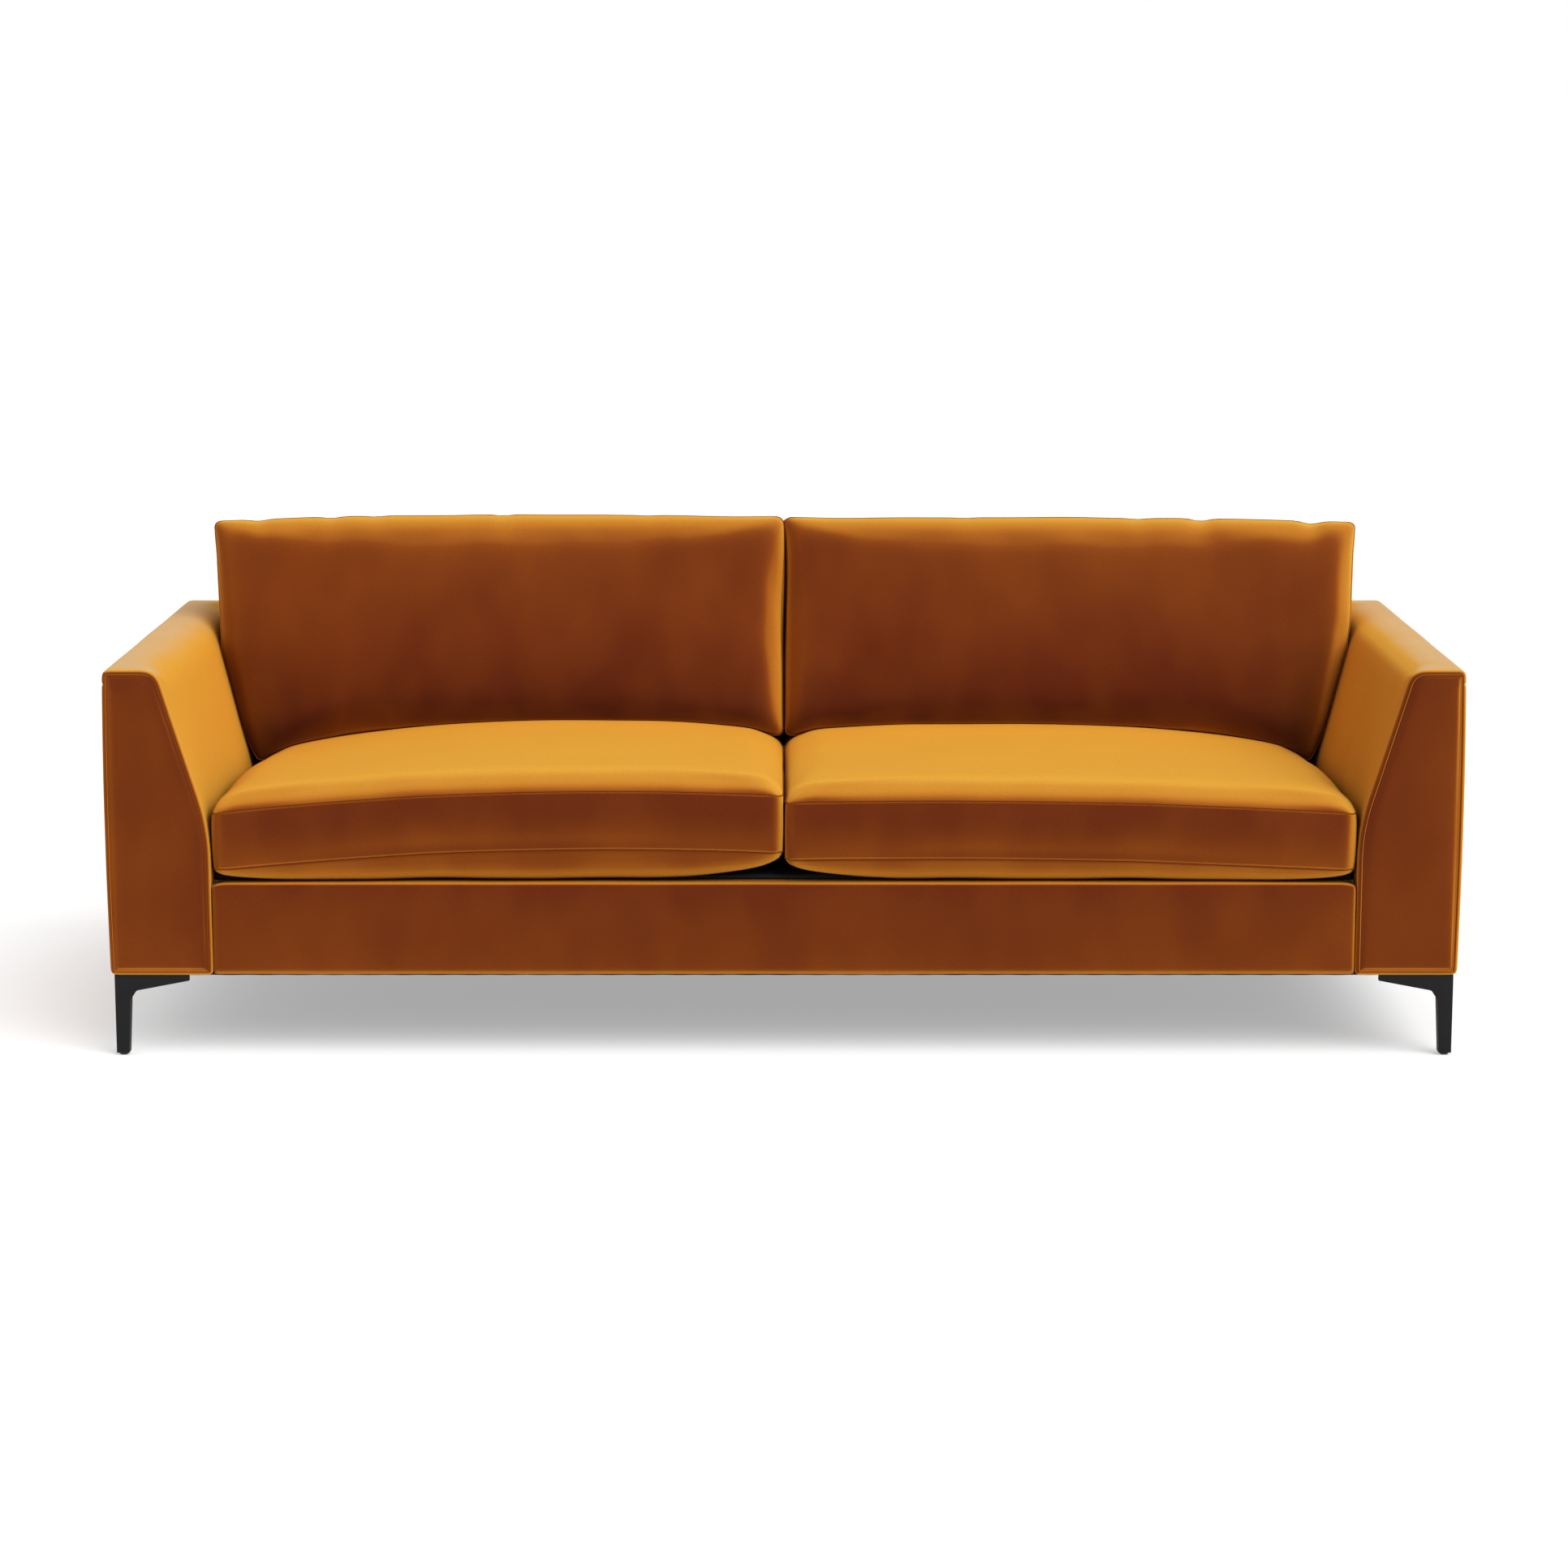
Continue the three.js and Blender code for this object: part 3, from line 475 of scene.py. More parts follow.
def clouds(grain):
    """A pattern of soft clouds of that grain."""
    def pattern(tree, coordinates):
        share = cloudy(tree, coordinates, grain)
        return share, share
    return pattern


def thread_material():
    """Twisted polyester sewing thread, a shade lighter than the velvet."""
    return two_toned_material("polyester_thread", clouds(2 * MM), "#83400F", "#A0561C",
                              {"Roughness": 0.8, "Specular IOR Level": 0.1})


def spring_material():
    """Oil-tempered spring wire: dark blued steel with a dull shine."""
    return two_toned_material("oil_tempered_steel", clouds(18 * MM), "#4D5157", "#6E665C", {"Metallic": 1.0},
                              rough=(4 * MM, 0.32, 0.5))


def zinc_material():
    """Zinc-plated screw steel: bright and slightly cloudy."""
    return two_toned_material("zinc_plated_steel", clouds(3 * MM), "#B4B7BA", "#9A9B92", {"Metallic": 1.0},
                              rough=(1 * MM, 0.28, 0.42))


def brass_material():
    """Brushed brass of the zips' sliders, tarnished in cloudy patches."""
    return two_toned_material("brass_zip", clouds(2 * MM), "#B08D4A", "#7E6330", {"Metallic": 1.0},
                              rough=(1 * MM, 0.3, 0.45))


def nylon_material():
    """Moulded nylon: black, smooth, with a soft highlight."""
    return two_toned_material("moulded_nylon", clouds(6 * MM), "#17181A", "#202124", {},
                              rough=(3 * MM, 0.42, 0.6))


def lining_material():
    """Non-woven polypropylene lining: black, with short pressed fibres and pin bonds."""
    def pressed(tree, coordinates):
        fibres = cloudy(tree, coordinates, 2 * MM, detail=5)
        bonds = add(tree, "ShaderNodeTexVoronoi", {"Vector": coordinates, "Scale": per_metre(3 * MM)})
        height = add(tree, "ShaderNodeMath", {0: bonds.outputs["Distance"], 1: fibres}, operation="ADD")
        return fibres, height.outputs["Value"]
    return two_toned_material("non_woven_lining", pressed, "#1E1F21", "#2E2F32",
                              {"Roughness": 0.92, "Specular IOR Level": 0.2}, relief=(0.2 * MM, 0.5))


def webbing_material():
    """Elastic upholstery webbing: pale, ribbed along its length and woven across it."""
    def woven(tree, coordinates):
        ribs, weft = (
            add(tree, "ShaderNodeTexWave", {"Vector": coordinates, "Scale": per_metre(grain)},
                bands_direction=axis).outputs["Fac"]
            for axis, grain in (("X", 25 * MM), ("Z", 14 * MM)))
        weave = add(tree, "ShaderNodeMath", {0: ribs, 1: weft}, operation="MULTIPLY").outputs["Value"]
        return weave, weave
    return two_toned_material("elastic_webbing", woven, "#7E6D4C", "#B7A681",
                              {"Roughness": 0.9, "Specular IOR Level": 0.2}, relief=(0.4 * MM, 0.7))


def foam_material():
    """Cut polyurethane foam: pale yellow, full of open cells."""
    def cells(tree, coordinates):
        cell = add(tree, "ShaderNodeTexVoronoi", {"Vector": coordinates, "Scale": per_metre(2 * MM)})
        return cell.outputs["Distance"], cell.outputs["Distance"]
    return two_toned_material("polyurethane_foam", cells, "#CDBE86", "#EFE4BC",
                              {"Roughness": 0.95, "Specular IOR Level": 0.15}, relief=(0.5 * MM, 0.6))


def tape_material():
    """Woven polyester zip tape, dyed rust to go with the velvet."""
    def twill(tree, coordinates):
        weave = add(tree, "ShaderNodeTexWave", {"Vector": coordinates, "Scale": per_metre(12 * MM)},
                    bands_direction="DIAGONAL")
        return weave.outputs["Fac"], weave.outputs["Fac"]
    return two_toned_material("zip_tape", twill, "#4A2412", "#6B3519",
                              {"Roughness": 0.85, "Specular IOR Level": 0.2}, relief=(0.2 * MM, 0.6))


MATERIAL_MAKERS = {
    "velvet": lambda: velvet_material("cotton_velvet", 0.93),
    # On the arms and back the pale painted highlight starts sooner, the painted sheen keeps its strength and
    # the painted shade stays in the most closed places
    "tight velvet": lambda: velvet_material("cotton_velvet_drawn_tight", 0.76, lit_from=0.0),
    # On the front border the painted sheen is weaker: painted shade for its top edge under the seat cushions'
    # front edge
    "dimmed sheen velvet": lambda: velvet_material("cotton_velvet_pressed_flat", 0.9, golden=0.55),
    "timber x": lambda: timber_material(0),
    "timber y": lambda: timber_material(1),
    "timber z": lambda: timber_material(2),
    "powder coat": powder_coat_material,
    "thread": thread_material,
    "spring": spring_material,
    "zinc": zinc_material,
    "brass": brass_material,
    "nylon": nylon_material,
    "lining": lining_material,
    "webbing": webbing_material,
    "foam": foam_material,
    "tape": tape_material,
}
made_materials = {}


def finish_of(name):
    """Each material is made once, when a piece first needs it."""
    if name not in made_materials:
        made_materials[name] = MATERIAL_MAKERS[name]()
    return made_materials[name]


# Tightly drawn covers: a skin that is pushed on from ring to ring


class Section:
    """A closed outline with rounded corners that can be drawn in evenly.

    Each corner is (place, reach, steps): reach is how far along its sides the rounding starts. Each side has
    its own number of steps, so all rings of a section have as many points.
    """

    least_reach = 2.5 * MM

    def __init__(self, corners, side_steps):
        self.places = [Vector(place) for place, _, _ in corners]
        self.reaches = [reach for _, reach, _ in corners]
        self.corner_steps = [steps for _, _, steps in corners]
        self.side_steps = side_steps

    def drawn_in(self, inset):
        count = len(self.places)
        sides = [(self.places[(i + 1) % count] - self.places[i]).normalized() for i in range(count)]
        inwards = [Vector((-side.y, side.x)) for side in sides]
        moved = []
        for i, place in enumerate(self.places):
            before, after = inwards[i - 1], inwards[i]
            moved.append(place + (before + after) * inset / (1 + before.dot(after)))
        return moved

    def middle_of(self, corner):
        """The index in a ring of the point in the middle of a corner."""
        before = sum(self.corner_steps[:corner]) + sum(self.side_steps[:corner])
        return before + self.corner_steps[corner] // 2

    def ring(self, inset=0.0):
        places = self.drawn_in(inset)
        reaches = [max(reach - inset, min(reach, self.least_reach)) for reach in self.reaches]

        def rounding_start(i, j):
            """Where the rounding of corner i starts on the side to corner j."""
            return places[i] + (places[j] - places[i]).normalized() * reaches[i]

        points = []
        for i, place in enumerate(places):
            j = (i + 1) % len(places)
            before, after, goal = rounding_start(i, i - 1), rounding_start(i, j), rounding_start(j, i)
            for k in range(self.corner_steps[i] + 1):
                t = k / self.corner_steps[i]
                points.append(before * (1 - t) ** 2 + place * 2 * t * (1 - t) + after * t * t)
            points += [after.lerp(goal, k / self.side_steps[i]) for k in range(1, self.side_steps[i])]
        return points


def push_skin(name, rings):
    """A disc shaped as the first ring, then extruded from each ring to the next, which closes both ends."""
    deselect()
    bpy.ops.mesh.primitive_circle_add(vertices=len(rings[0]), fill_type="NGON")
    piece = rename(bpy.context.object, name)
    for vertex, place in zip(piece.data.vertices, rings[0]):
        vertex.co = place
    order = {vertex.co.to_tuple(): i for i, vertex in enumerate(piece.data.vertices)}
    edit(piece)
    for ring in rings[1:]:
        bpy.ops.mesh.extrude_region_move()
        form = bmesh.from_edit_mesh(piece.data)
        chosen = [(order[v.co.to_tuple()], v) for v in form.verts if v.select]
        for i, vertex in chosen:
            vertex.co = ring[i]
        order = {vertex.co.to_tuple(): i for i, vertex in chosen}
        bmesh.update_edit_mesh(piece.data)
    stop_editing()
    return piece


def turned_edge(radius, angles):
    """(inset, depth) round an edge, at each angle that the surface has turned by."""
    turns = [math.radians(angle) for angle in angles]
    return [(radius * (1 - math.cos(turn)), radius * (1 - math.sin(turn))) for turn in turns]


def end_panel_steps():
    """(inset, depth) from a side round its edge, down and up through the seam and on to the end panel."""
    edge, deep = sizes().panel_round, sizes().seam_depth
    groove = [(0.2, 0.5), (0.5, 1.0), (1.0, 0.8), (2.2, 0.5), (4.5, 0.15)]
    steps = turned_edge(edge, (0, 22, 45, 68, 90))
    return steps + [(edge + across * MM, deep * down) for across, down in groove]


def fill_panel(piece, ring, quarters, puff, outward):
    """Covers an end with a grid of strips between its four sides, puffed out in the middle.

    quarters are the ring's four corner indices. The end's own face is taken off first.
    """
    edit(piece)
    form = bmesh.from_edit_mesh(piece.data)
    rim = {v.co.to_tuple(): v for v in form.verts}
    loop = [rim[Vector(place).to_tuple()] for place in ring]
    caps = [f for f in form.faces if len(f.verts) == len(ring) and set(f.verts) == set(loop)]
    bmesh.ops.delete(form, geom=caps, context="FACES_ONLY")
    count = len(ring)

    def walk(start, stop):
        """The rim's points from one corner to the next."""
        if stop <= start:
            stop += count
        return [loop[i % count] for i in range(start, stop + 1)]

    a, b, c, d = quarters
    rise, top, fall, bottom = walk(a, b), walk(b, c), walk(c, d)[::-1], walk(d, a)[::-1]
    rows, columns = len(rise), len(top)
    grid = [[None] * columns for _ in range(rows)]
    for i in range(rows):
        grid[i][0], grid[i][-1] = rise[i], fall[i]
    for j in range(columns):
        grid[0][j], grid[-1][j] = bottom[j], top[j]
    for i in range(1, rows - 1):
        s = i / (rows - 1)
        left, right = (end[0].co * (1 - s) + end[-1].co * s for end in (rise, fall))
        for j in range(1, columns - 1):
            t = j / (columns - 1)
            edges = rise[i].co * (1 - t) + fall[i].co * t + bottom[j].co * (1 - s) + top[j].co * s
            height = puff * (1 - (2 * s - 1) ** 6) * (1 - (2 * t - 1) ** 4)
            grid[i][j] = form.verts.new(edges - (left * (1 - t) + right * t) + outward * height)
    for i in range(rows - 1):
        for j in range(columns - 1):
            form.faces.new((grid[i][j], grid[i][j + 1], grid[i + 1][j + 1], grid[i + 1][j]))
    bmesh.update_edit_mesh(piece.data)
    stop_editing()


def waves(place, grain, seed):
    """Smooth, repeatable unevenness between -1 and 1."""
    return noise.noise(place / grain + Vector((seed, 2 * seed, 3 * seed)))


def soft_step(value, low, high):
    t = min(max((value - low) / (high - low), 0.0), 1.0)
    return t * t * (3 - 2 * t)


def shape(piece, move):
    """Moves each point of a mesh by a function of its place and normal."""
    normals = [v.normal.copy() for v in piece.data.vertices]
    for vertex, normal in zip(piece.data.vertices, normals):
        vertex.co = move(vertex.co.copy(), normal)
    piece.data.update()


def rumpled(millimetres, grain, seed):
    """A move along the normals by soft waves of that height and grain."""
    return lambda place, normal: place + normal * millimetres * MM * waves(place, grain, seed)


def uneven(place, normal):
    """Velvet drawn over padding is never quite flat: broad waves and a finer ripple."""
    broad = waves(place, 180 * MM, 1.7) + 0.4 * waves(place, 100 * MM, 4.1)
    return place + normal * sizes().unevenness * broad


def finish_skin(piece, settle, finish):
    """Settles a skin over its padding and gives it its velvet or lining."""
    face_outwards(piece)
    shape(piece, settle)
    finer(piece)
    wear(piece, finish_of(finish))
    smooth(piece)


def inner_side(z, base, top):
    """How far in the inner side lies: base up to the shoulder, and from there evenly less, to top."""
    share = max(0.0, (z - sizes().shoulder) / (TOP - sizes().shoulder))
    return base + (top - base) * share


def arm_inner_x(z):
    return ARM_HIGH.x - inner_side(z, ARM_HIGH.x - ARM_LOW.x, sizes().arm_top)


def back_inner_y(z):
    return REAR - inner_side(z, REAR - BACK_LOW.y, sizes().back_top)


SIDE_SEAM_DROP = 24 * MM
# How far apart the rings of a skin stand
RING_STEP = 14 * MM
# A normal past this share of a direction faces that way
FACING = 0.7


def upholstered_section(outer, base, top, inner_round):
    """The outline that arms and back share, with a seam below the outer top edge."""
    size = sizes()
    corners = [
        ((outer, BOTTOM), 10 * MM, 4),
        ((outer, TOP - SIDE_SEAM_DROP), 3 * MM, 6),
        ((outer, TOP), size.outer_round, 4),
        ((outer - top, TOP), inner_round, 6),
        ((outer - base, size.shoulder), 56 * MM, 8),
        ((outer - base, BOTTOM), 8 * MM, 4),
    ]
    return Section(corners, side_steps=[36, 1, 8, 20, 14, 9])


def outer_seam(place, outward):
    """The groove of the seam that joins the top to the outer side."""
    away = abs(place.z - (TOP - SIDE_SEAM_DROP)) / (3 * MM)
    if away >= 1:
        return place
    return place - outward * sizes().seam_depth * (1 - away ** 2) ** 2


def stations(low, high, spacing):
    count = max(2, round((high - low) / spacing))
    return [low + (high - low) * i / count for i in range(count + 1)]


class SOFA_OT_arms(bpy.types.Operator):
    """Both arms: velvet drawn over the padded boards, with a sewn panel at each end"""
    bl_idname = "sofa.arms"
    bl_label = "Arms"

    # Between these distances from an end, the inner top edge grows from the panel's corner to its full round
    softening = (8 * MM, 80 * MM)

    def execute(self, context):
        size = sizes()
        middle, section = (upholstered_section(ARM_HIGH.x, ARM_HIGH.x - ARM_LOW.x, size.arm_top, inner_round)
                           for inner_round in (size.inner_round, size.panel_corner))
        steps = end_panel_steps()
        low, high = FRONT + size.panel_round, REAR - size.panel_round
        places = [(inset, FRONT + depth) for inset, depth in reversed(steps)]
        places += [(0.0, y) for y in stations(low, high, RING_STEP)[1:-1]]
        places += [(inset, REAR - depth) for inset, depth in steps]
        rings = []
        for inset, y in places:
            softer = soft_step(min(y - FRONT, REAR - y), *self.softening)
            outline = [a.lerp(b, softer) for a, b in zip(section.ring(inset), middle.ring(inset))]
            rings.append([Vector((p.x, y, p.y)) for p in outline])
        right = push_skin("arm_right", rings)
        quarters = [section.middle_of(corner) for corner in (0, 2, 3, 5)]
        for ring, outward in ((rings[0], -1), (rings[-1], 1)):
            fill_panel(right, ring, quarters, size.panel_puff, Vector((0, outward, 0)))
        finish_skin(right, self.settle, "tight velvet")
        left = copied(right, "arm_left")
        turn_over(left)
        for side, arm in (("right", right), ("left", left)):
            place_on(arm, "sofa_frame", "velvet", f"arm_cover_{side}")
        return {"FINISHED"}

    @staticmethod
    def settle(place, normal):
        """The outer side swells between its top and its bottom."""
        outer = soft_step(place.x, ARM_HIGH.x - 60 * MM, ARM_HIGH.x)
        place = uneven(place, normal)
        if normal.x > FACING:
            place = outer_seam(place, Vector((1, 0, 0)))
        half_height = (TOP - BOTTOM) / 2
        place.x += outer * sizes().side_swell * (1 - ((place.z - BOTTOM) / half_height - 1) ** 2)
        return place


class SOFA_OT_back(bpy.types.Operator):
    """The back: velvet over the padded frame, held in tight between the arms"""
    bl_idname = "sofa.back"
    bl_label = "Back"

    def execute(self, context):
        size = sizes()
        section = upholstered_section(REAR, REAR - BACK_LOW.y, size.back_top, size.inner_round)
        crease = 7 * MM
        ends = turned_edge(crease, (90, 68, 45, 22, 0))
        rings = [self.ring(section, inset, -1, depth) for inset, depth in ends]
        rings += [self.ring(section, 0.0, share, crease) for share in stations(-1, 1, 1 / 64)[1:-1]]
        rings += [self.ring(section, inset, 1, depth) for inset, depth in reversed(ends)]
        back = push_skin("back", rings)
        finish_skin(back, self.settle, "tight velvet")
        place_on(back, "sofa_frame", "velvet", "back_cover")
        return {"FINISHED"}

    @staticmethod
    def ring(section, inset, share, depth):
        """A ring across the back at a share of the slanting width between the arms."""
        tuck = 1 * MM
        return [Vector((share * (arm_inner_x(p.y) + tuck - depth), p.x, p.y)) for p in section.ring(inset)]

    @staticmethod
    def settle(place, normal):
        place = uneven(place, normal)
        if normal.y > FACING:
            place = outer_seam(place, Vector((0, 1, 0)))
        return place


class SOFA_OT_front_border(bpy.types.Operator):
    """The front border: padded velvet over the front rail, rounded at the top and at its ends"""
    bl_idname = "sofa.front_border"
    bl_label = "Front border"

    def execute(self, context):
        size = sizes()
        low, high = BORDER_LOW, BORDER_HIGH
        face = low.y + size.border_puff
        corners = [((high.y, low.z), 2 * MM, 2), ((high.y, high.z), 4 * MM, 4),
                   ((face, high.z), size.border_edge, 8), ((face, low.z), 11 * MM, 6)]
        section = Section(corners, side_steps=[10, 3, 14, 4])
        edge = size.panel_round
        ends = [(inset, low.x + depth) for inset, depth in turned_edge(edge, (90, 75, 60, 45, 30, 15, 0))]
        places = ends + [(0.0, x) for x in stations(low.x + edge, high.x - edge, RING_STEP)[1:-1]]
        places += [(inset, -x) for inset, x in reversed(ends)]
        rings = [[Vector((x, p.x, p.y)) for p in section.ring(inset)] for inset, x in places]
        border = push_skin("front_border", rings)
        finish_skin(border, self.settle, "dimmed sheen velvet")
        place_on(border, "sofa_frame", "velvet", "front_border_cover")
        return {"FINISHED"}

    @staticmethod
    def settle(place, normal):
        """Puffs the face out in its middle and rounds the top corners at both ends."""
        size = sizes()
        place = uneven(place, normal)
        if normal.y < -0.2:
            up = 2 * (place.z - BORDER_LOW.z) / (BORDER_HIGH.z - BORDER_LOW.z) - 1
            across = place.x / BORDER_HIGH.x
            place.y -= size.border_puff * max(0.0, 1 - abs(up) ** 3) * max(0.0, 1 - abs(across) ** 40)
        radius = size.border_round
        into_corner = max(0.0, radius - (BORDER_HIGH.x - abs(place.x)))
        drop = radius - math.sqrt(max(0.0, radius ** 2 - min(into_corner, radius) ** 2))
        place.z -= 0.8 * drop * soft_step(place.z, BORDER_HIGH.z - 3 * radius, BORDER_HIGH.z)
        return place


# Stuffed covers: flat panels sewn to a border, swollen by a short cloth simulation


class Cover:
    """The cloth of a box cushion: two grids joined by strips, whose points remember where they were cut.

    u runs across, v up or back, and w from the under panel at -1 to the face at 1.
    """

    def __init__(self, name, columns, rows, strips):
        deselect()
        cut = {"x_subdivisions": columns, "y_subdivisions": rows, "size": 2}
        bpy.ops.mesh.primitive_grid_add(location=(0, 0, 0), **cut)
        self.piece = rename(bpy.context.object, name)
        edit(self.piece)
        bpy.ops.transform.translate(value=(0, 0, 1))
        bpy.ops.mesh.primitive_grid_add(location=(0, 0, -1), **cut)
        bpy.ops.mesh.select_all(action="SELECT")
        bpy.ops.mesh.region_to_loop()
        bpy.ops.mesh.bridge_edge_loops(number_cuts=strips - 1, interpolation="LINEAR")
        face_outwards(self.piece)
        self.cut_places = [v.co.copy() for v in self.piece.data.vertices]

    def lay(self, form):
        """Puts each point where its place on the cut cloth belongs, closer together near the seams."""
        for vertex, (u, v, w) in zip(self.piece.data.vertices, self.cut_places):
            vertex.co = form(self.crowded(u), self.crowded(v), w)
        self.piece.data.update()

    @staticmethod
    def crowded(share):
        bend = 1.25
        return math.sin(share * bend) / math.sin(bend)

    def rim(self, panel):
        """The points of the seam round the face (1) or the under panel (-1)."""
        near = 1e-4
        return {i for i, (u, v, w) in enumerate(self.cut_places)
                if abs(w - panel) < near and max(abs(u), abs(v)) > 1 - near}

    def seams(self):
        return self.rim(1) | self.rim(-1)


def round_corner(x, y, half_x, half_y, radius):
    """Presses a rectangle's corner into a round one. Returns the place and the way out there."""
    over_x, over_y = abs(x) - (half_x - radius), abs(y) - (half_y - radius)
    sign_x, sign_y = math.copysign(1, x), math.copysign(1, y)
    if over_x <= 0 or over_y <= 0:
        return x, y, Vector((sign_x, 0)) if over_x > over_y else Vector((0, sign_y))
    squeeze = max(over_x, over_y) / math.hypot(over_x, over_y)
    out = Vector((sign_x * over_x, sign_y * over_y)).normalized()
    return (sign_x * (half_x - radius + over_x * squeeze), sign_y * (half_y - radius + over_y * squeeze), out)


# Past this w a point lies on the face, and under its negative on the under panel
ON_PANEL = 0.999


def swell(u, v, half_u, half_v, reach):
    """How far a stuffed panel has risen, from 0 to 1: upright at its seam, then ever flatter up to reach."""
    rise = 1.0
    for share, half in ((u, half_u), (v, half_v)):
        short = max(0.0, 1 - (1 - abs(share)) * half / reach)
        rise *= (1 - short ** 4) ** 0.62
    return rise


def crown(u, v):
    return (1 - u * u) * (1 - v * v)


class SeatForm:
    """Where a seat cushion's cloth lies.

    Its border climbs from the arm towards the middle of the sofa, and its rear sags under the back cushion.
    """

    climbs = {"left": (106 * MM, 76 * MM), "right": (56 * MM, 38 * MM)}
    # How far the rear sags in the middle of the cushion, at the arm and at the middle of the sofa
    sags = {"left": (7 * MM, 36 * MM, 21 * MM), "right": (-6 * MM, 30 * MM, 4 * MM)}
    sag_from = -250 * MM
    roll_reach = 108 * MM
    # How far the lower seam lifts at the outer front corner, and how near the corner
    corner_lift, corner_near = 1 * MM, 40 * MM
    # How far the front edge hangs over the front border: the underside, the lower seam and the upper one
    lip_under, lip_low, lip_high = 7.5 * MM, 4 * MM, 3 * MM
    # Between these distances from the front edge it stops hanging
    lip_reach = (18 * MM, 40 * MM)
    # How much further the sides reach, to touch the cushion beside this one and the arm
    inner_reach, outer_reach = 6.5 * MM, 7 * MM
    # The underside turns under at once in front, softly at the arm, and slowly at the middle of the sofa
    under_power, under_arm_power, under_inner_power = 30, 8, 4

    def __init__(self, side):
        self.size = bpy.context.scene.sofa_seat_sizes
        self.rise, self.fall = self.climbs[side]
        self.sag_middle, self.sag_arm, self.sag_inner = self.sags[side]
        self.half_x = (SEAT_HIGH.x - SEAT_LOW.x) / 2 - self.size.bulge
        self.half_y = (SEAT_HIGH.y - SEAT_LOW.y) / 2 - self.size.bulge
        self.centre = (SEAT_LOW + SEAT_HIGH) / 2

    def climb(self, u):
        """How far the border has climbed from the arm, where u is 1."""
        from_arm = (1 - u) / 2
        return self.rise * from_arm - self.fall * from_arm ** 2

    def low_seam(self, u):
        lift = self.corner_lift * soft_step(u * self.half_x, self.half_x - self.corner_near, self.half_x)
        return DECK_HIGH.z + self.size.low_seam + self.climb(u) + lift

    def top_seam(self, u):
        return DECK_HIGH.z + self.size.low_seam + self.size.border + self.climb(u)

    def sag(self, u, y):
        end = self.sag_arm if u > 0 else self.sag_inner
        depth = self.sag_middle + (end - self.sag_middle) * abs(u) ** 3
        return depth * soft_step(y, self.sag_from, BACK_LOW.y)

    def underside(self, u, v):
        """How far the underside has come down from its seam to the deck, from 0 to 1."""
        power = self.under_arm_power if u > 0 else self.under_inner_power
        across = math.sqrt(max(0.0, 1 - abs(u) ** power))
        return min(1.0, 1.05 * across * math.sqrt(max(0.0, 1 - abs(v) ** self.under_power)))

    def __call__(self, u, v, w):
        size = self.size
        half_x = self.half_x - size.draw_in * (1 - v * v)
        half_y = self.half_y - size.draw_in * (1 - u * u)
        x, y, out = round_corner(u * half_x, v * half_y, half_x, half_y, size.corner)
        low, high = self.low_seam(u), self.top_seam(u)
        x += (self.outer_reach * (1 + u) - self.inner_reach * (1 - u)) / 2
        if w > ON_PANEL:
            z = high + size.roll * swell(u, v, half_x, half_y, self.roll_reach) + size.crown * crown(u, v)
        elif w < -ON_PANEL:
            z = low - (low - SEAT_LOW.z) * self.underside(u, v)
        else:
            bulge = size.bulge * (1 - w * w)
            x, y = x + out.x * bulge, y + out.y * bulge
            z = low + (high - low) * (1 + w) / 2
        z -= self.sag(u, self.centre.y + y) * (1 + w) / 2
        in_front = 1 - soft_step(y + self.half_y, *self.lip_reach)
        low_lip = self.lip_under if w < -ON_PANEL and max(abs(u), abs(v)) < 1 else self.lip_low
        z -= in_front * (low_lip * (1 - w) + self.lip_high * (1 + w)) / 2
        return Vector((self.centre.x + x, self.centre.y + y, z))


